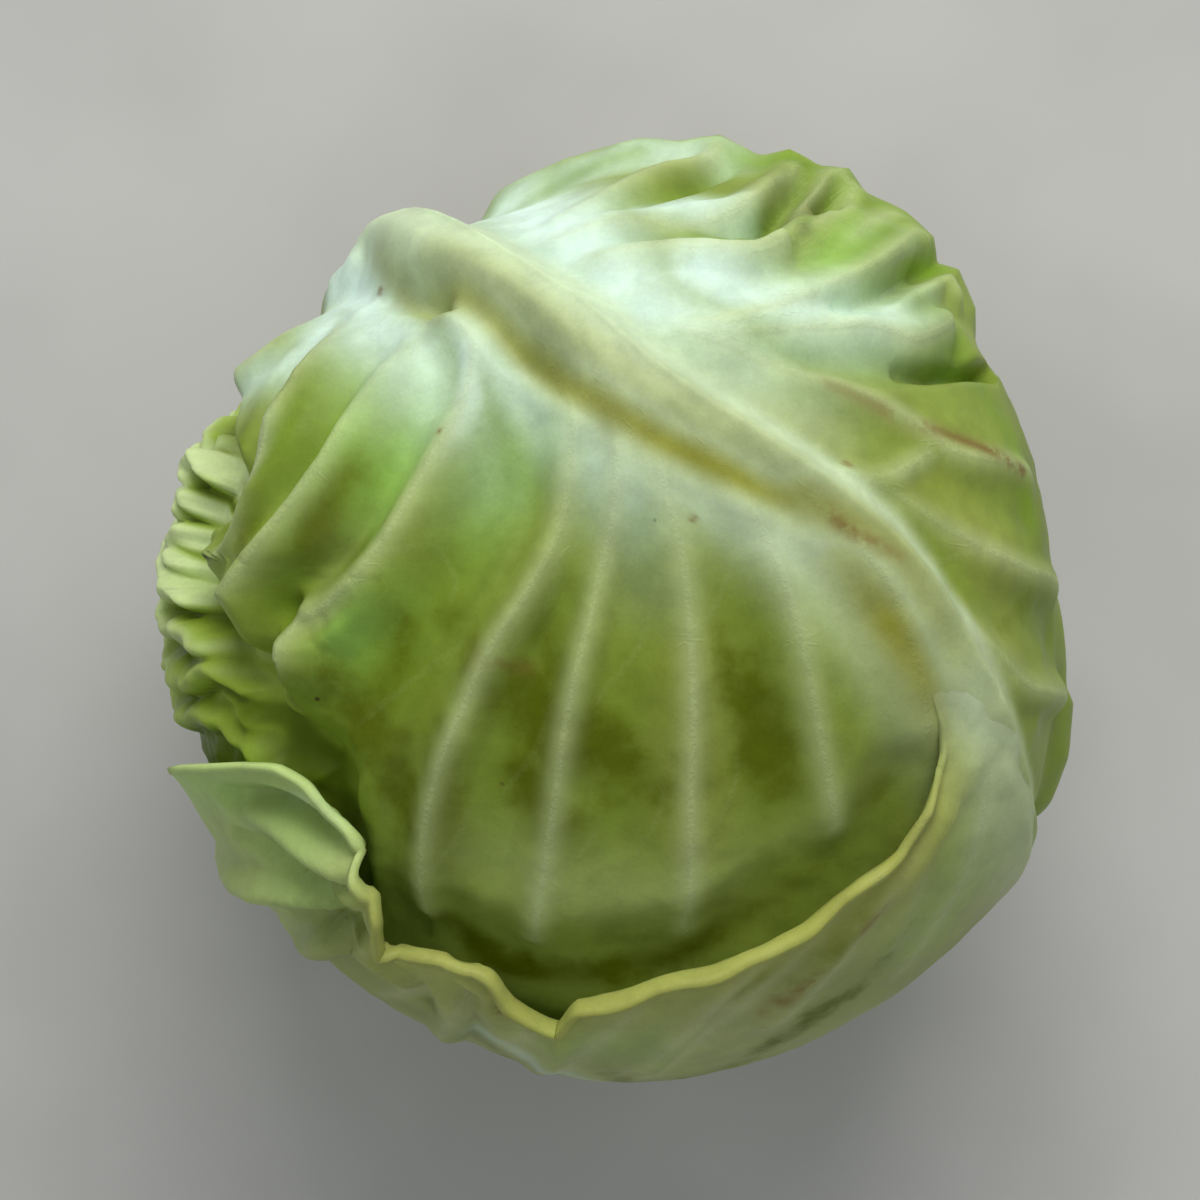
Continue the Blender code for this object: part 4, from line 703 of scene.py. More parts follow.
def paintLeaf(mesh, place, azimuth, toEdge):
    distance, along = measure(place, crestLine(), 60)
    listed = topLeaf["leftRibs"] + topLeaf["rightRibs"]
    ribLines = []
    for points, height, _, _ in listed:
        line = lineOnHead(points, height=height, inset=topLeaf["inset"])
        ribLines.append((line, topLeaf["veinStrength"]))
    # painted shade: hollows tinted deep green by their depth, partly the leaf's own deeper green there
    dips = topLeaf["leftHollows"][:-1] + topLeaf["rightHollows"]     # the one along the lip is only shaded
    hollowShade = ribs(place, dips, rising=False) / 4
    left = np.clip(1 + distance / levelAt(topLeaf["slopeWidth"], along), 0, 1)
    right = np.clip(1 - distance / (topLeaf["fallWidth"] * 1.2), 0, 1)
    fading = 1 - 0.7 * ease(0.55, 0.85, along)
    addField(mesh, "midrib", np.where(distance < 0, ease(0.3, 0.8, left), ease(0, 0.6, right)) * fading)
    addField(mesh, "veins", nearLines(place, ribLines, topLeaf["veinWidth"]))
    addField(mesh, "hollowShade", np.clip(hollowShade, 0, 1))
    addField(mesh, "edge", np.exp(-np.clip(toEdge, 0, None) / 4))
    fine = [(lineOnHead(line), topLeaf["fineStrength"]) for line in topLeaf["fineVeins"]]
    addVeins(mesh, place, ribLines + fine)
    for name in ("oliveAndShade", "paleAndHighlight", "bloom", "fresh", "green", "warm", "midribShade", "stain"):
        addField(mesh, name, patches(place, topLeaf[name], topLeaf["paintInset"].get(name, 0)))


print("top leaf")
buildBlade()


lowerLobe = {
    "cells": (420, 44),
    "inset": -1.8,                     # its folds and its paint lie this far outside the head
    "lip": (
        (59, -8), (62, -15), (65.5, -28), (63, -36.5), (58, -46.5), (48, -54.5), (34, -63.5), (18, -69.5),
        (6, -73.5), (-6, -76.5), (-10.5, -82), (-19.5, -77), (-25, -70.5), (-30, -69), (-36, -67.5),
        (-44.5, -65), (-44, -56), (-49, -47), (-52, -43), (-57, -39), (-60, -35), (-66, -31), (-74, -30.5),
        (-84, -31), (-91, -31),
    ),
    "lipLift": (
        (-161, 8), (-156, 6.5), (-150, 5), (-135, 5), (-110, 6), (-80, 6), (-50, 5.5), (-35, 4.5), (-24, 2.5),
        (-14, 0.2), (-5, -0.5),
    ),
    "outer": (
        (-161.5, 84), (-158, 86), (-155, 88), (-152, 96), (-140, 108), (-120, 114), (-108, 104), (-98, 90),
        (-90, 88), (-82, 90), (-74, 102), (-60, 116), (-46, 110), (-38, 101),
    ),
    "start": -9.0,
    "stop": -160.5,
    "rollRadius": (
        (-160, 1.2), (-140, 1.6), (-112, 2.2), (-95, 2.6), (-80, 2.8), (-60, 2.4), (-40, 1.5), (-15, 1.1),
    ),
    "rollTurn": 115.0,
    "rollWave": (0.12, 23),            # height and number of the waves of the roll
    "rough": ((0.3, 8.0, 5.0), (0.14, 3.4, 9.0)),
    "veinStrength": (1, 1, 0.6),
    "veinWidth": 2.0,
    "ribs": (
        (((77, -20), (70, -33), (62, -47), (56, -66)), (1, 1.6, 1.4, 1), 5, 5),
        (((66, -40), (50, -62), (32, -82)), (0.8, 1.6, 1.4), 5, 5),
        (((30, -66), (18, -80), (8, -92)), (0.8, 1.6, 1.4), 5, 5),
        (((-4, -78), (-10, -88), (-16, -94)), (1, 1.6, 1), 4, 4),
    ),
    "pleats": (
        (
            ((-79, -39), (-71, -39.5), (-62, -46), (-53, -52), (-47.5, -54.5), (-45, -60), (-45.5, -65)),
            (0, 1, 3, 6, 7.5, 7, 3), 5, 3.4,
        ),
        (
            ((-72, -53), (-62, -54.5), (-55, -56), (-50, -58.5), (-49, -63), (-50, -68)),
            (0, 1, 3, 6, 5.5, 3), 4.4, 3.4,
        ),
        (((-63, -66), (-56, -65), (-50, -69), (-43, -73)), (0, 0.5, 2, 4, 3), 4.5, 3.6),
        (((-43, -70), (-36, -74), (-32, -80), (-34, -86)), (3, 3.5, 3, 1), 4.5, 4),
        (((-30, -71), (-26, -77), (-22, -84)), (2, 2.5, 1), 4, 4),
    ),
    "veins": (
        ((62.8, -30.4), (57.8, -48.4), (45.8, -68.4), (31.8, -82.4)),
        ((51.8, -50.4), (37.8, -66.4), (17.8, -84.4), (5.8, -93.4)),
        ((29.8, -66.4), (15.8, -80.4), (1.8, -92.4)),
        ((5.8, -76.4), (-4.2, -86.4), (-10.2, -91.4)),
        ((-14.2, -80.4), (-22.2, -86.4)),
        ((-28.2, -74.4), (-34.2, -82.4)),
        ((73.8, -32.4), (69.8, -52.4), (57.8, -72.4)),
        ((-38.2, -73.4), (-46.2, -76.4)),
    ),
    # olive: painted shade in the pleat creases and between the ribs, with some of the lobe's own olive
    "oliveAndShade": (
        (((58.8, -42.4), (51.8, -56.4), (37.8, -68.4), (17.8, -78.4)), 7, (0.3, 0.6, 0.6, 0.3)),
        (((21.8, -91.4), (37.8, -82.4), (53.8, -70.4), (63.8, -56.4)), 6, (0.4, 0.7, 0.6, 0.3)),
        (((-2.2, -88.4), (5.8, -94.4), (17.8, -92.4)), 4, (0.5, 0.6, 0.5)),
        (((-36.2, -76.4), (-26.2, -84.4), (-18.2, -90.4)), 5, (0.4, 0.6, 0.4)),
        (((-74.2, -38.8), (-66.2, -45.4), (-56.2, -50.8), (-49.0, -56.4)), 3, (0.6, 0.7, 0.7, 0.6)),
        (((-72.2, -36.4), (-64.2, -37.6), (-56.2, -42.4)), 3.4, (0.8, 0.8, 0.6)),
        (((-62.2, -55.4), (-54.2, -58.8), (-49.8, -61.4)), 3, (0.7, 0.8, 0.8)),
    ),
    "fresh": (
        (((-90.2, -31.4), (-74.2, -34.4), (-60.2, -40.4)), 8, (0.9, 0.9, 0.6)),
        (((-74.2, -42.4), (-62.2, -50.4), (-50.2, -56.4)), 7, (0.5, 0.5, 0.4)),
        (((65.8, -28.4), (69.8, -46.4), (63.8, -62.4)), 10, (0.3, 0.4, 0.3)),
        (((-10.2, -84.4), (5.8, -86.4)), 8, (0.3, 0.3)),
    ),
    # pale: thin strokes, partly painted highlight along the lobe's rims
    "paleAndHighlight": (
        (((-26.2, -82.4), (-10.2, -91.4), (1.8, -94.4)), 3, (0.3, 0.4, 0.2)),
        (((-66.2, -36.4), (-58.2, -36.4), (-54.2, -39.4)), 2, (0.3, 0.4, 0.3)),
    ),
    "stain": (
        (((-22.2, -76.4), (-20.6, -75.8), (-19.0, -77.0)), 1.6, (0.9, 1, 0.7)),
        (((3.0, -95.6), (4.6, -96.6), (6.2, -96.4)), 2, (0.9, 1, 0.8)),
        (((29.8, -78.4), (35.8, -74.8), (41.8, -70.0)), 1.4, (0.5, 0.8, 0.5)),
        (((49.8, -61.4), (53.8, -57.4)), 1.2, (0.6, 0.5)),
    ),
    "hollows": (
        (((-48, -61), (-50, -57), (-56, -53), (-66, -48.5), (-75, -44)), (3, 4, 4, 2), 3, 3),
        (((-48, -49), (-58, -42), (-67, -37), (-76, -35.5)), (2, 4, 4, 2), 4, 4),
        (((-64, -60), (-56, -61), (-52, -64)), (1, 3, 3), 3.4, 3.4),
        (((-28, -74), (-35, -70.5), (-42, -68)), (2, 3, 2), 4, 4),
    ),
}


lipLift = turnTable(lowerLobe["lipLift"])
lipRoll = turnTable(lowerLobe["rollRadius"])


def lobeTables():
    azimuth, polar = seenAngles(lowerLobe["lip"])
    azimuth, polar = seenAngles(lowerLobe["lip"], lookUp(lipLift, azimuth))
    inner = turnTable(tuple(zip(azimuth, polar)))
    crestAzimuth, crestPolar = seenAngles(topLeaf["crest"][9:])
    outer = turnTable(tuple(zip(crestAzimuth, crestPolar)) + lowerLobe["outer"])
    return inner, outer


lobeInner, lobeOuter = lobeTables()


def lobeRadius(azimuth, polar, fromLip):   # one with the midrib along its far side, lifted at its lip
    direction = unit(azimuth, polar)
    base = headRadius(direction)
    place = direction * base[:, None]
    toSeam = arc(lookUp(lobeOuter, azimuth) - polar)
    below = ease(-30, -48, azimuth)
    free = below + (1 - below) * ease(0, 14, toSeam)
    parted = free * ease(-12, -32, azimuth)
    relief = bladeRelief(place) * (1 - parted) + midribRelief(place) * parted
    inset = lowerLobe["inset"]
    folds = ribs(place, lowerLobe["ribs"], inset) + rolls(place, lowerLobe["pleats"], inset)
    folds -= ribs(place, lowerLobe["hollows"], inset, rising=False)
    relief += folds * parted
    lift = lookUp(lipLift, azimuth) * (0.45 + 0.55 * np.exp(-fromLip / 22)) * free
    return base - topLeaf["inset"] + relief + lift - 0.4 * (1 - free)


def buildLobe():
    mesh, spots = gridMesh("topLeafLobe", lowerLobe["cells"])
    azimuth = lowerLobe["start"] + (lowerLobe["stop"] - lowerLobe["start"]) * (spots[:, 0] + 1) / 2
    across = (spots[:, 1] + 1) / 2
    inner = lookUp(lobeInner, azimuth)
    outer = np.maximum(lookUp(lobeOuter, azimuth), inner + 2)
    width = arc(outer - inner)
    fromLip = np.interp(across, (0, 0.3, 1), (0, 0.17, 1)) * width
    height, waves = lowerLobe["rollWave"]
    rounding = lookUp(lipRoll, azimuth) * (1 + height * np.sin(np.radians(azimuth) * waves))
    fullTurn = np.radians(lowerLobe["rollTurn"])
    reach = fullTurn * rounding
    roll = np.clip(lookUp(lipLift, azimuth) / 4, 0, 1)
    turn = fullTurn * np.clip(1 - fromLip / reach, 0, 1) * roll
    shift = np.where(fromLip < reach, reach - fromLip - rounding * np.sin(turn), 0) * roll
    polar = inner + np.degrees((fromLip + shift) / cabbage["meanRadius"])
    direction = unit(azimuth, polar)
    place = direction * headRadius(direction)[:, None]
    radius = lobeRadius(azimuth, polar, fromLip) + rounding * (1 - np.cos(turn))
    radius += roughened(place, lowerLobe["rough"])
    putPoints(mesh, direction * radius[:, None])
    paintLeaf(mesh, place, azimuth, fromLip + 30)
    below = ease(-12, -30, azimuth)
    tip = ease(-128, -142, azimuth)
    addField(mesh, "lip", np.exp(-((fromLip / 12) ** 2)) * below * (1 - tip))
    addField(mesh, "tip", (0.6 + 0.4 * np.exp(-((fromLip / 5) ** 2))) * tip)
    inset = lowerLobe["inset"]
    veins = [(lineOnHead(line, inset=inset), lowerLobe["veinStrength"]) for line in lowerLobe["veins"]]
    addField(mesh, "veins", nearLines(place, veins, lowerLobe["veinWidth"]) * below)
    addVeins(mesh, place, veins)
    for name in ("oliveAndShade", "paleAndHighlight", "bloom", "fresh", "warm", "stain"):
        addField(mesh, name, patches(place, lowerLobe.get(name, ()), inset))
    return newPiece("top_leaf_lobe", mesh, "top_leaf")


print("lower lobe")
buildLobe()


underLeaf = {
    "cells": (150, 150),
    "inset": 2.8,
    "midrib": ((122, 142), (119, 155), (90, 174), (-40, 164), (-55, 144), (-60, 122)),
    "midribHeight": (4, 3, 1, 1, 1.5, 1),
    "veinFeet": ((118, 152), (105, 168), (30, 176), (-45, 160)),
    "veinHeight": (1.5, 1.2, 0.6),
    "sink": 0.2,
    "rough": ((0.2, 7.0, 2.0),),
    "reach": (
        (-180, 66), (-150, 70), (-120, 66), (-90, 71), (-60, 66), (-30, 70), (0, 66), (30, 69), (60, 64),
        (90, 58), (104, 45), (122, 34), (140, 45), (154, 60),
    ),
}
leftLeaf = {
    "cells": (200, 170),
    "wander": 2.6,                     # how far the folds stray from their lines
    "wanderSeeds": (21.0, 34.0, 47.0),
    "inset": 5.0,
    "span": (136.0, 237.0),
    "rough": ((0.9, 6.0, 4.0), (0.35, 2.8, 7.0)),
    "reach": ((136, 64, 112), (150, 60, 126), (175, 44, 130), (200, 32, 128), (222, 34, 118), (237, 47, 104)),
    "midrib": ((136, 118), (160, 112), (190, 104), (225, 92)),
    "midribHeight": (4, 3, 2, 0.5),
    "folds": (
        (((-86, 34), (-83, 37), (-78, 37.5)), (4, 5, 4), 3.2, 3.2),
        (((-87, 28.5), (-85.5, 32.5), (-81.5, 32.5), (-78, 27)), (4, 6, 7, 5), 4.2, 4.4),
        (((-82, 31), (-82.5, 25), (-82.5, 20), (-82, 15)), (4, 5.5, 6, 5), 3.8, 4),
        (
            ((-93, 22.5), (-89.5, 25), (-87, 23), (-87, 19), (-90.5, 16), (-90, 12.5), (-85.5, 9.5),
             (-79.5, 9.5)),
            (4, 5.5, 6, 6, 6, 4), 3.4, 3.6,
        ),
        (
            ((-93, 11.5), (-90, 6.8), (-86, 5.8), (-82, 4), (-79.5, -0.5), (-75, -6.5), (-68, -13)),
            (4.5, 6, 6.5, 6, 4.5, 3), 3.8, 3.8,
        ),
        (
            ((-93, 3), (-90, -1.5), (-84.5, -5.5), (-78, -8.5), (-71, -13), (-65.5, -17)),
            (4.5, 5.5, 6, 5, 3), 4.2, 4.4,
        ),
        (
            ((-91.5, -9), (-87.5, -12), (-82, -12), (-76, -14.5), (-69, -19), (-62, -27)),
            (4, 5, 5, 4, 3), 4, 4,
        ),
        (((-88, -19), (-80.5, -21.5), (-75, -27), (-70, -35)), (3.5, 4.5, 4.5, 3), 4, 5),
        (((-62, -22), (-58, -30), (-54, -40), (-50, -52)), (2.5, 3, 3, 2), 5, 5),
    ),
    "hollows": (
        (((-83.5, 36), (-79.5, 33.5)), (3, 4), 3.5, 3.5),
        (((-80, -16), (-74, -20), (-68, -27)), (1, 2.5, 2), 3, 3),
        (((-66, -26), (-60, -36), (-56, -48)), (2, 3, 2), 5, 5),
    ),
}
rightLeaf = {
    "cells": (200, 80),
    "inset": 7.2,
    "span": (-117.0, 105.0),
    "top": ((-117, 84), (-100, 76), (-60, 72), (-10, 68), (30, 66), (70, 68), (92, 80), (105, 98)),
    "bottom": ((-117, 108), (-95, 124), (-60, 130), (-10, 134), (30, 137), (70, 138), (92, 134), (105, 122)),
    "midrib": ((105, 112), (80, 114), (50, 113), (15, 110), (-20, 107), (-60, 104), (-110, 97)),
    "midribHeight": (4, 3, 2.5, 2, 1.5, 1, 0.5),
    "veinFeet": (88, 68, 48, 28, 8, -14, -38, -64),
    "veinHeight": (1.6, 1.4, 0.8),
    "rough": ((0.3, 8.0, 6.0),),
}


tableStep = 1.5                        # degrees


def surfaceTable(radiusOf, lowPolar, highPolar):   # radii on an even table of directions, quick to read
    azimuth = np.arange(0, 361, tableStep)
    polar = np.arange(lowPolar, highPolar + 0.1, tableStep)
    turn, tip = np.meshgrid(azimuth, polar, indexing="ij")
    found = radiusOf(np.where(turn > 180, turn - 360, turn).ravel(), tip.ravel()).reshape(turn.shape)
    return lowPolar, found


def lowestTable(radiusOf, lowPolar, highPolar):    # the same, with the least radius just round each spot
    start, found = surfaceTable(radiusOf, lowPolar, highPolar)
    lowest = found.copy()
    for turns in (-2, -1, 0, 1, 2):
        for tips in (-2, -1, 0, 1, 2):
            moved = np.roll(found, turns, axis=0)
            rows = np.clip(np.arange(found.shape[1]) + tips, 0, found.shape[1] - 1)
            lowest = np.minimum(lowest, moved[:, rows])
    return start, lowest


def readTable(tableOf, azimuth, polar):        # the radius between the four nearest entries
    start, values = tableOf
    across = np.mod(azimuth, 360) / tableStep
    down = np.clip((polar - start) / tableStep, 0, values.shape[1] - 1.001)
    i, j = across.astype(int), down.astype(int)
    s, t = across - i, down - j
    k = np.minimum(i + 1, values.shape[0] - 1)
    upper = values[i, j] * (1 - s) + values[k, j] * s
    lower = values[i, j + 1] * (1 - s) + values[k, j + 1] * s
    return upper * (1 - t) + lower * t


bladeFloor = lowestTable(lambda turn, tip: topRadius(unit(turn, tip)), 0, 126)


def lobeOver(turn, tip):
    inner = lookUp(lobeInner, turn)
    return lobeRadius(turn, tip, np.clip(arc(tip - inner), 0, None))


lobeFloor = surfaceTable(lobeOver, 60, 126)


def beneath(radius, outer, inside):    # lowered, where inside says so, to leave room for the leaf over it
    room = outer - cabbage["leafThickness"] - cabbage["leafGap"]
    return np.where(inside > 0, np.minimum(radius, room * inside + radius * (1 - inside)), radius)


def underTop(radius, azimuth, polar):
    reach = np.max([lookUp(topOutline, azimuth + turn) for turn in (-5, -2.5, 0, 2.5, 5)], axis=0)
    covered = ease(8, 4, polar - reach)
    radius = beneath(radius, readTable(bladeFloor, azimuth, polar), covered)
    inner = lookUp(lobeInner, azimuth)
    outer = lookUp(lobeOuter, azimuth)
    start, stop = lowerLobe["start"], lowerLobe["stop"]
    along = ease(start + 1, start - 1, azimuth) * ease(stop - 5, stop - 2, azimuth)
    covered = along * ease(inner - 3.5, inner - 0.5, polar) * ease(outer + 3.5, outer + 0.5, polar)
    return beneath(radius, readTable(lobeFloor, azimuth, polar), covered)


underOutline = turnTable(underLeaf["reach"])


def underReach(azimuth):
    return 180 - lookUp(underOutline, azimuth)


def underRadius(azimuth, polar):       # the leaf that the cabbage lies on
    direction = unit(azimuth, polar)
    base = headRadius(direction)
    place = direction * base[:, None]
    relief = rib(place, polarLine(underLeaf["midrib"]), underLeaf["midribHeight"], 9, 9)
    for index, foot in enumerate(underLeaf["veinFeet"]):
        for side in (-1, 1):
            toe = (foot[0] + side * (62 - 8 * index), 122 - 4 * index)
            relief += rib(place, polarLine((foot, toe)), underLeaf["veinHeight"], 6, 6)
    wave = np.sin(np.radians(azimuth) * 9) + 0.6 * np.sin(np.radians(azimuth) * 17 + 1)
    relief += 1.0 * wave * ease(14, 0, polar - underReach(azimuth))
    return underTop(base - underLeaf["inset"] + relief, azimuth, polar)


underFloor = surfaceTable(underRadius, 60, 180)


def settled(radius, azimuth, polar):   # keeps a side leaf between the leaves over it and the head
    radius = underTop(radius, azimuth, polar)
    covered = ease(-4.5, -1.5, polar - underReach(azimuth))
    radius = beneath(radius, readTable(underFloor, azimuth, polar) - 0.5, covered)
    return np.maximum(radius, headRadius(unit(azimuth, polar)) - cabbage["deepest"])


def paintWrap(mesh, veins, hollowShade, toEdge):
    addField(mesh, "midrib", np.zeros(len(veins)))
    addField(mesh, "veins", veins)
    addField(mesh, "hollowShade", hollowShade)
    addField(mesh, "edge", np.exp(-np.clip(toEdge, 0, None) / 5))
    addField(mesh, "veinNear", np.full(len(veins), 50.0))      # far from any fine vein


def buildUnderLeaf():
    mesh, spots = gridMesh("underLeaf", underLeaf["cells"])
    azimuth, reach = discAngles(spots, 122, underOutline)
    polar = 180 - reach
    azimuth = (azimuth + 180) % 360 - 180
    direction = unit(azimuth, polar)
    place = direction * headRadius(direction)[:, None]
    radius = underRadius(azimuth, polar) - underLeaf["sink"] + roughened(place, underLeaf["rough"])
    points = direction * radius[:, None]
    points[:, 2] = np.maximum(points[:, 2], -cabbage["middle"][2])
    putPoints(mesh, points)
    plain = np.zeros(len(place))
    paintWrap(mesh, plain, plain, arc(polar - underReach(azimuth)))
    return newPiece("under_leaf_blade", mesh, "under_leaf", flip=True)


def bandAngles(spots, span, top, bottom):
    azimuth = span[0] + (span[1] - span[0]) * (spots[:, 0] + 1) / 2
    upper, lower = evenCurve(sorted(top)), evenCurve(sorted(bottom))
    high = np.interp(azimuth, upper[:, 0], upper[:, 1])
    low = np.interp(azimuth, lower[:, 0], lower[:, 1])
    return azimuth, high + (low - high) * (1 - spots[:, 1]) / 2


def buildLeftLeaf():
    mesh, spots = gridMesh("leftLeaf", leftLeaf["cells"])
    top = [(azimuth, high) for azimuth, high, _ in leftLeaf["reach"]]
    bottom = [(azimuth, low) for azimuth, _, low in leftLeaf["reach"]]
    azimuth, polar = bandAngles(spots, leftLeaf["span"], top, bottom)
    azimuth = (azimuth + 180) % 360 - 180
    direction = unit(azimuth, polar)
    base = headRadius(direction)
    place = direction * base[:, None]
    wander = np.stack([roughly(place, 8.0, seed) for seed in leftLeaf["wanderSeeds"]], axis=1)
    bent = place + leftLeaf["wander"] * wander
    folds = rolls(bent, leftLeaf["folds"], leftLeaf["inset"])
    hollows = ribs(bent, leftLeaf["hollows"], leftLeaf["inset"], rising=False)
    relief = folds - hollows + rib(place, polarLine(leftLeaf["midrib"]), leftLeaf["midribHeight"], 9, 9)
    radius = base - leftLeaf["inset"] + relief + roughened(place, leftLeaf["rough"])
    putPoints(mesh, direction * settled(radius, azimuth, polar)[:, None])
    crest = np.clip(folds / 6, 0, 1)
    # painted shade: darker away from the fold crests and in the hollows
    hollowShade = np.maximum(ease(0.5, 0, crest), np.clip(hollows / 3, 0, 1))
    paintWrap(mesh, ease(0.5, 1, crest), hollowShade, np.full(len(place), 20.0))
    # painted highlight: fold crests paler towards the top, where the light falls
    addField(mesh, "paleAndHighlight", 0.75 * ease(0.45, 0.95, crest) * ease(194, 170, np.mod(azimuth, 360)))
    return newPiece("left_leaf_blade", mesh, "left_leaf")


def buildRightLeaf():
    mesh, spots = gridMesh("rightLeaf", rightLeaf["cells"])
    azimuth, polar = bandAngles(spots, rightLeaf["span"], rightLeaf["top"], rightLeaf["bottom"])
    direction = unit(azimuth, polar)
    base = headRadius(direction)
    place = direction * base[:, None]
    relief = rib(place, polarLine(rightLeaf["midrib"]), rightLeaf["midribHeight"], 9, 9)
    middle = np.array(rightLeaf["midrib"], float)[::-1]
    veins = np.zeros(len(place))
    for foot in rightLeaf["veinFeet"]:
        start = (foot, np.interp(foot, middle[:, 0], middle[:, 1]))
        for toe in (start[1] - 40, start[1] + 32):
            vein = rib(place, polarLine((start, (foot - 26, toe))), rightLeaf["veinHeight"], 6, 6)
            relief += vein
            veins = np.maximum(veins, vein / rightLeaf["veinHeight"][0])
    relief += 0.9 * np.sin(np.radians(azimuth) * 13) * np.sin(np.radians(polar) * 7)
    radius = base - rightLeaf["inset"] + relief + roughened(place, rightLeaf["rough"])
    putPoints(mesh, direction * settled(radius, azimuth, polar)[:, None])
    paintWrap(mesh, veins, np.zeros(len(place)), np.full(len(place), 20.0))
    return newPiece("right_leaf_blade", mesh, "right_leaf")


stem = {
    "cells": (96, 96),
    "azimuth": 122.0,
    "polar": 127.0,
    "radius": 16.0,
    # share of the disc from its middle, and the place along the stem or the share of the stem's radius
    "profile": ((0, 97.0), (0.5, 97.0), (0.55, 96.6), (0.6, 95.2), (1, 70.0)),
    "across": ((0, 0), (0.5, 0.9), (0.55, 0.97), (0.6, 1), (1, 1)),
    "pith": 6.0,                       # radius of the hollow in the middle of the cut
    "pithDepth": 1.6,
    "fibreRing": 11.0,
    "fibreSize": 1.7,
    "fibreHeight": 0.3,
}


def buildStem():                       # cut end with a hollow pith, a ring of fibres and a dry rim
    mesh, spots = gridMesh("stemCut", stem["cells"])
    turn, share = discSpots(spots)
    along = np.interp(share, *zip(*stem["profile"]))
    uneven = 0.97 + 0.02 * np.sin(3 * turn + 1) + 0.01 * np.sin(7 * turn)
    across = stem["radius"] * uneven * np.interp(share, *zip(*stem["across"]))
    onCut = ease(0.6, 0.5, share)
    axis = unit(stem["azimuth"], stem["polar"])
    side = np.cross(axis, (0, 0, 1))
    side /= np.linalg.norm(side)
    up = np.cross(axis, side)
    offset = across[:, None] * (np.cos(turn)[:, None] * side + np.sin(turn)[:, None] * up)
    fibre = roughly(offset, stem["fibreSize"], 5.0)
    hollow = stem["pithDepth"] * np.exp(-((across / stem["pith"]) ** 2))
    along -= onCut * (hollow + stem["fibreHeight"] * np.abs(fibre))
    putPoints(mesh, axis * along[:, None] + offset)
    ring = np.exp(-(((across - stem["fibreRing"]) / 1.4) ** 2)) * onCut
    addField(mesh, "warm", np.clip(ring + 0.5 * (1 - onCut), 0, 1))
    addField(mesh, "stain", 0.7 * ease(13, 15.5, across) * onCut + 0.4 * ring * (fibre > 0.1))
    addField(mesh, "oliveAndShade", 0.5 * np.exp(-((across / 4) ** 2)) * onCut)
    return newPiece("stem_cut", mesh, "stem")


print("stem and wrapper leaves")
buildStem()
buildUnderLeaf()
buildLeftLeaf()
buildRightLeaf()


leafFinish = {                         # sRGB colours, 0 to 255
    "leafLight": (142, 161, 82),
    "leafDeep": (120, 139, 54),
    "fresh": (148, 194, 100),
    "green": (116, 152, 44),
    # the valley tint is painted shade for hollows, over the leaf's own deeper green
    "hollowShadeTint": (98, 130, 14),
    # olive is the leaf's own olive and also painted shade
    "oliveAndShade": (86, 98, 6),
    "warm": (156, 162, 92),
    # pale is the leaf's own whitish tone and also a painted highlight
    "paleAndHighlight": (224, 252, 240),
    "bloom": (154, 170, 106),
    "vein": (200, 212, 168),
    "midrib": (208, 228, 196),
    "midribShade": (142, 144, 56),
    "edge": (146, 178, 74),
    "lip": (172, 176, 84),
    "tip": (196, 220, 140),
    "speck": (70, 50, 24),
    "stain": (120, 92, 44),
    "roughness": 0.40,
    "specular": 0.12,
    "yellowing": 1.13,                 # power of the blue channel
    "glow": (0.12, 0.003, (0.8, 1.0, 0.35)),       # weight, scale and reach of the light inside a leaf
    "bumpHeight": 0.0006,              # metres
}
# field that shows a colour, its greatest share, and the colour
lowLayers = (("fresh", 0.9, "fresh"), ("warm", 0.9, "warm"), ("hollowShade", 0.75, "hollowShadeTint"))
highLayers = (
    ("edge", 0.5, "edge"), ("midrib", 0.85, "midrib"), ("midribShade", 0.95, "midribShade"),
    ("lip", 0.75, "lip"), ("tip", 0.8, "tip"),
)


def colour(triple):                    # sRGB from 0 to 255 to the linear colour that a socket takes
    share = np.array(triple, float) / 255
    linear = np.where(share <= 0.04045, share / 12.92, ((share + 0.055) / 1.055) ** 2.4)
    return (*linear.tolist(), 1.0)


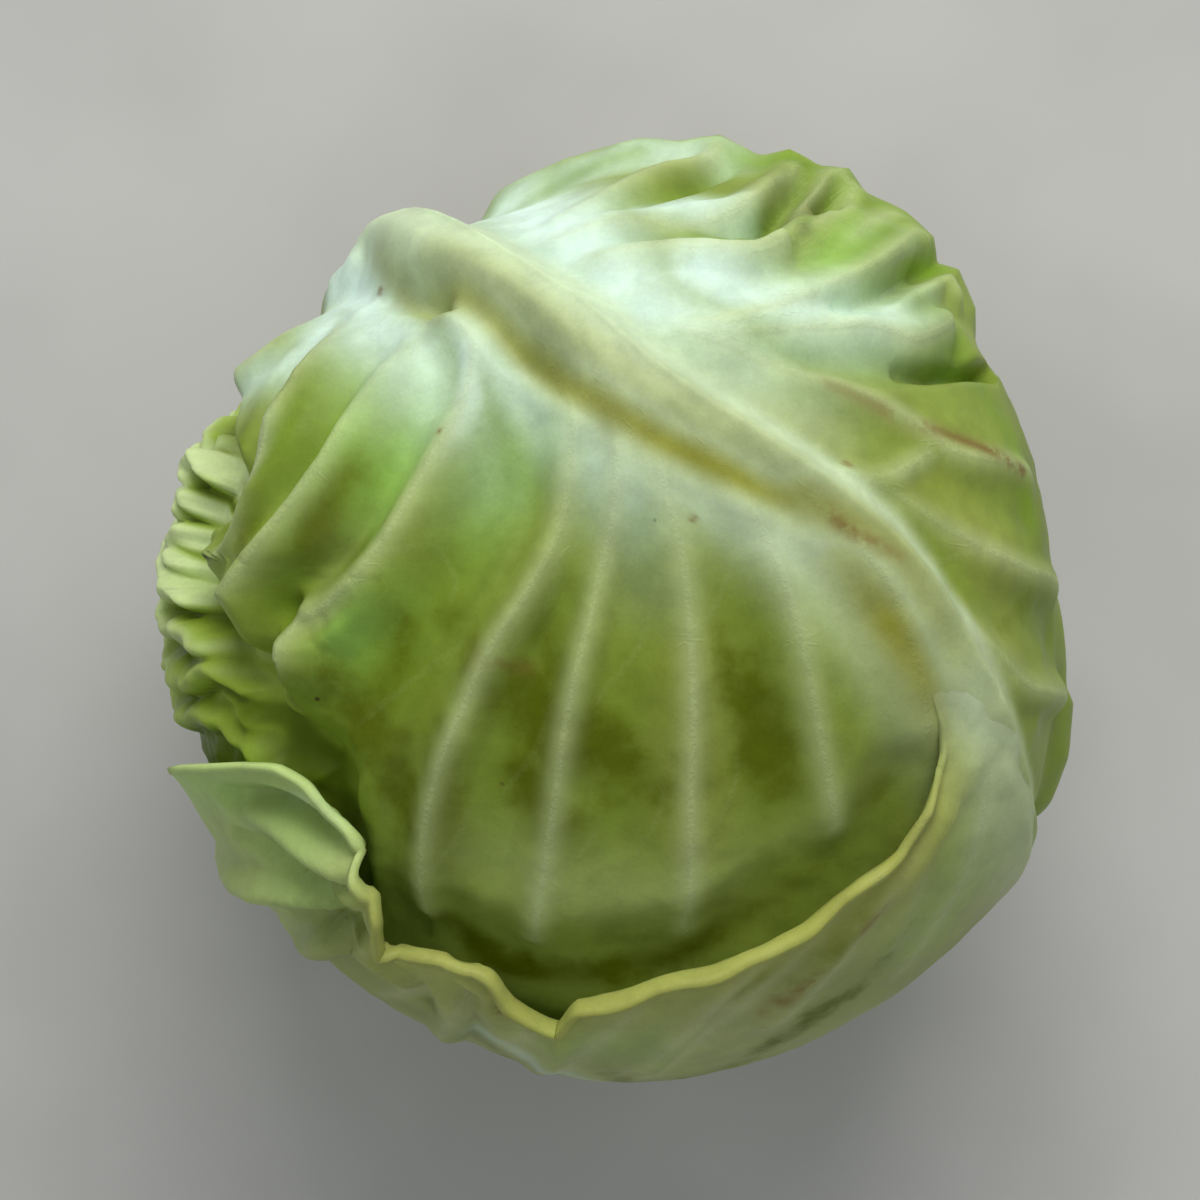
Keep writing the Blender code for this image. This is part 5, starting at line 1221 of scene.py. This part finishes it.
class Nodes:                           # short hand for wiring one material
    def __init__(self, name):
        self.material = bpy.data.materials.new(name)
        self.material.use_nodes = True
        self.tree = self.material.node_tree
        self.shader = self.tree.nodes["Principled BSDF"]

    def put(self, socket, value):
        if isinstance(value, bpy.types.NodeSocket):
            self.tree.links.new(value, socket)
        elif isinstance(value, tuple) and len(value) == 3 and max(value) > 1:
            socket.default_value = colour(value)
        else:
            socket.default_value = value

    def math(self, operation, a, b=0.0):
        made = self.tree.nodes.new("ShaderNodeMath")
        made.operation = operation
        self.put(made.inputs[0], a)
        self.put(made.inputs[1], b)
        return made.outputs[0]

    def yellowed(self, tone, amount):      # less blue in the middle tones, and hardly less in the pale ones
        parted = self.tree.nodes.new("ShaderNodeSeparateColor")
        joined = self.tree.nodes.new("ShaderNodeCombineColor")
        self.put(parted.inputs[0], tone)
        for channel in (0, 1):
            self.put(joined.inputs[channel], parted.outputs[channel])
        self.put(joined.inputs[2], self.math("POWER", parted.outputs[2], amount))
        return joined.outputs[0]

    def field(self, name):
        made = self.tree.nodes.new("ShaderNodeAttribute")
        made.attribute_name = name
        return made.outputs["Fac"]

    def blend(self, share, first, second):
        made = self.tree.nodes.new("ShaderNodeMix")
        made.data_type = "RGBA"
        self.put(made.inputs[0], share)
        self.put(made.inputs[6], first)
        self.put(made.inputs[7], second)
        return made.outputs[2]

    def layers(self, surface, look, listed):
        for name, share, tint in listed:
            surface = self.blend(self.math("MULTIPLY", self.field(name), share), surface, look[tint])
        return surface

    def spread(self, value, low, high, outLow=0.0, outHigh=1.0):
        made = self.tree.nodes.new("ShaderNodeMapRange")
        made.interpolation_type = "SMOOTHSTEP"
        for socket, given in zip(made.inputs, (value, low, high, outLow, outHigh)):
            self.put(socket, given)
        return made.outputs[0]

    def place(self):
        return self.tree.nodes.new("ShaderNodeTexCoord").outputs["Object"]

    def cloud(self, where, scale, detail=3.0, rough=0.5, distortion=0.0):
        made = self.tree.nodes.new("ShaderNodeTexNoise")
        self.tree.links.new(where, made.inputs["Vector"])
        made.inputs["Scale"].default_value = scale
        made.inputs["Detail"].default_value = detail
        made.inputs["Roughness"].default_value = rough
        made.inputs["Distortion"].default_value = distortion
        return made.outputs["Fac"]

    def cells(self, where, scale):
        made = self.tree.nodes.new("ShaderNodeTexVoronoi")
        made.feature = "F1"
        self.tree.links.new(where, made.inputs["Vector"])
        made.inputs["Scale"].default_value = scale
        return made.outputs["Distance"]

    def bent(self, where, scale, amount):      # the same place, pushed about by noise
        made = self.tree.nodes.new("ShaderNodeTexNoise")
        self.tree.links.new(where, made.inputs["Vector"])
        made.inputs["Scale"].default_value = scale
        made.inputs["Detail"].default_value = 2.0
        push = self.tree.nodes.new("ShaderNodeVectorMath")
        push.operation = "MULTIPLY_ADD"
        self.tree.links.new(made.outputs["Color"], push.inputs[0])
        push.inputs[1].default_value = (amount, amount, amount)
        self.tree.links.new(where, push.inputs[2])
        return push.outputs[0]

    def bump(self, height, distance, strength):
        made = self.tree.nodes.new("ShaderNodeBump")
        made.inputs["Strength"].default_value = strength
        made.inputs["Distance"].default_value = distance
        self.tree.links.new(height, made.inputs["Height"])
        return made.outputs[0]


def leafMaterial(name, changes=()):
    look = dict(leafFinish)
    look.update(changes)
    n = Nodes(name)
    where = n.place()
    broad = n.cloud(where, 24, 3, 0.5)
    mottle = n.cloud(where, 110, 5, 0.62)
    grain = n.cloud(where, 1400, 3, 0.7)
    streak = n.cloud(n.bent(where, 30, 0.02), 60, 4, 0.6, 0.8)
    surface = n.blend(n.spread(broad, 0.3, 0.7), look["leafLight"], look["leafDeep"])
    surface = n.layers(surface, look, lowLayers)
    # dark olive from the strokes, partly painted shade, plus random olive mottling
    patchy = n.math("ADD", n.field("oliveAndShade"), n.spread(mottle, 0.3, 0.75, -0.3, 0.22))
    surface = n.blend(n.spread(patchy, 0.12, 0.95), surface, look["oliveAndShade"])
    cover = n.spread(streak, 0.25, 0.65, 0.8, 1.0)
    bloomLayers = (("paleAndHighlight", cover, "paleAndHighlight"), ("bloom", cover, "bloom"))
    surface = n.layers(surface, look, bloomLayers + (("green", 0.85, "green"), ("veins", 0.44, "vein")))
    across = n.math("ABSOLUTE", n.field("veinAcross"))
    line = n.math("MULTIPLY", n.spread(across, 1.1, 0.15), n.spread(n.field("veinNear"), 3.0, 2.0))
    line = n.math("MULTIPLY", line, n.field("veinStrength"))
    line = n.math("MULTIPLY", line, n.spread(grain, 0.35, 0.6, 0.45, 1.0))
    surface = n.blend(n.math("MULTIPLY", line, 0.2), surface, look["vein"])
    surface = n.layers(surface, look, highLayers)
    surface = n.yellowed(surface, look["yellowing"])
    shade = n.tree.nodes.new("ShaderNodeHueSaturation")
    uneven = n.math("MULTIPLY", n.spread(mottle, 0.3, 0.7, 0.88, 1.08), n.spread(grain, 0.3, 0.7, 0.97, 1.03))
    n.put(shade.inputs["Value"], uneven)
    n.put(shade.inputs["Color"], surface)
    stained = n.math("MULTIPLY", n.field("stain"), n.spread(mottle, 0.38, 0.55))
    surface = n.blend(stained, shade.outputs[0], look["stain"])
    rare = n.spread(n.cloud(where, 38, 1), 0.60, 0.64)
    speck = n.math("MULTIPLY", n.spread(n.cells(where, 60), 0.045, 0.02), rare)
    surface = n.blend(n.math("MULTIPLY", speck, 0.8), surface, look["speck"])
    n.put(n.shader.inputs["Base Color"], surface)
    rough = look["roughness"]
    n.put(n.shader.inputs["Roughness"], n.spread(mottle, 0.3, 0.7, rough - 0.06, rough + 0.1))
    for part, value in zip(("Weight", "Scale", "Radius"), look["glow"]):
        n.shader.inputs["Subsurface " + part].default_value = value
    n.shader.inputs["Specular IOR Level"].default_value = look["specular"]
    height = n.math("ADD", n.math("MULTIPLY", mottle, 0.7), n.math("MULTIPLY", grain, 0.1))
    height = n.math("ADD", height, n.math("MULTIPLY", line, 0.35))
    n.put(n.shader.inputs["Normal"], n.bump(height, look["bumpHeight"], 0.5))
    return n.material


studio = {
    "floor": (192, 191, 188),
    "floorSize": 3.0,                  # metres, as are the places below
    "windowPlace": (0.08, 0.86, 0.82),
    "windowAim": (0, 0, 0.07),
    "windowSize": 0.75,
    "windowPower": 10.5,
    "windowColour": (1.0, 0.99, 0.97),
    "skyColour": (0.95, 0.98, 1.0),
    "skyPower": 0.42,
    "sensor": 36,
    "lens": 96,                        # 240 mm across the picture at the height of the middle
    "pictureShift": (-11, 18),         # in pixels of a picture 1200 wide
}


def makeFloor():
    mesh = bpy.data.meshes.new("floor")
    shape = bmesh.new()
    bmesh.ops.create_grid(shape, x_segments=1, y_segments=1, size=studio["floorSize"] / 2)
    shape.to_mesh(mesh)
    shape.free()
    floor = bpy.data.objects.new("floor", mesh)
    bpy.context.scene.collection.objects.link(floor)
    n = Nodes("plainFloor")
    cloudy = n.cloud(n.place(), 9, 3)
    light = tuple(value + 5 for value in studio["floor"])
    dark = tuple(value - 5 for value in studio["floor"])
    n.put(n.shader.inputs["Base Color"], n.blend(n.spread(cloudy, 0.35, 0.65), dark, light))
    n.shader.inputs["Roughness"].default_value = 0.7
    mesh.materials.append(n.material)


def makeLight():
    world = bpy.data.worlds.new("studioSky")
    world.use_nodes = True
    sky = world.node_tree.nodes["Background"]
    sky.inputs["Color"].default_value = (*studio["skyColour"], 1)
    sky.inputs["Strength"].default_value = studio["skyPower"]
    bpy.context.scene.world = world
    lamp = bpy.data.lights.new("window", "AREA")
    lamp.size = studio["windowSize"]
    lamp.energy = studio["windowPower"]
    lamp.color = studio["windowColour"]
    item = bpy.data.objects.new("window", lamp)
    bpy.context.scene.collection.objects.link(item)
    item.location = studio["windowPlace"]
    aim = Vector(studio["windowAim"]) - item.location
    item.rotation_euler = aim.to_track_quat("-Z", "Y").to_euler()


def makeCamera():
    lens = bpy.data.cameras.new("overhead")
    lens.sensor_width = studio["sensor"]
    lens.lens = studio["lens"]
    lens.shift_x, lens.shift_y = (value / 1200 for value in studio["pictureShift"])
    lens.dof.use_dof = False
    camera = bpy.data.objects.new("overhead", lens)
    bpy.context.scene.collection.objects.link(camera)
    x, y, z = cabbage["middle"]
    camera.location = (x * 0.001, y * 0.001, (z + cabbage["eyeHeight"]) * 0.001)
    bpy.context.scene.camera = camera


print("materials")
looks = {                              # material of each piece, and its own colours
    "top_leaf_blade": ("bladeSkin", {}),
    "top_leaf_lobe": ("lobeSkin", {
        "yellowing": 1.0, "leafLight": (168, 177, 116), "leafDeep": (146, 158, 88), "vein": (190, 196, 148),
    }),
    "left_leaf_blade": ("crumpledSkin", {
        "leafLight": (166, 192, 100), "leafDeep": (138, 162, 60), "hollowShadeTint": (80, 98, 8),
        "vein": (206, 224, 166), "paleAndHighlight": (214, 232, 190),
    }),
    "right_leaf_blade": ("rightSkin", {"leafLight": (162, 174, 108), "leafDeep": (146, 160, 90)}),
    "under_leaf_blade": ("underSkin", {"leafLight": (168, 182, 118), "leafDeep": (148, 166, 96)}),
    "head": ("innerSkin", {"leafLight": (196, 210, 146), "leafDeep": (178, 196, 124)}),
    "stem_cut": ("stemSkin", {"leafLight": (206, 210, 168), "leafDeep": (186, 194, 142)}),
}


def wear(item, name):
    skin, changes = looks[name]
    item.data.materials.clear()
    item.data.materials.append(leafMaterial(skin, changes))


for slotName in ("top_leaf", "left_leaf", "right_leaf", "under_leaf", "stem"):
    for piece in pieces[slotName]:
        wear(piece, piece.name)
wear(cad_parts["head"], "head")

makeFloor()
makeLight()
makeCamera()
bpy.context.scene.view_settings.view_transform = "Standard"
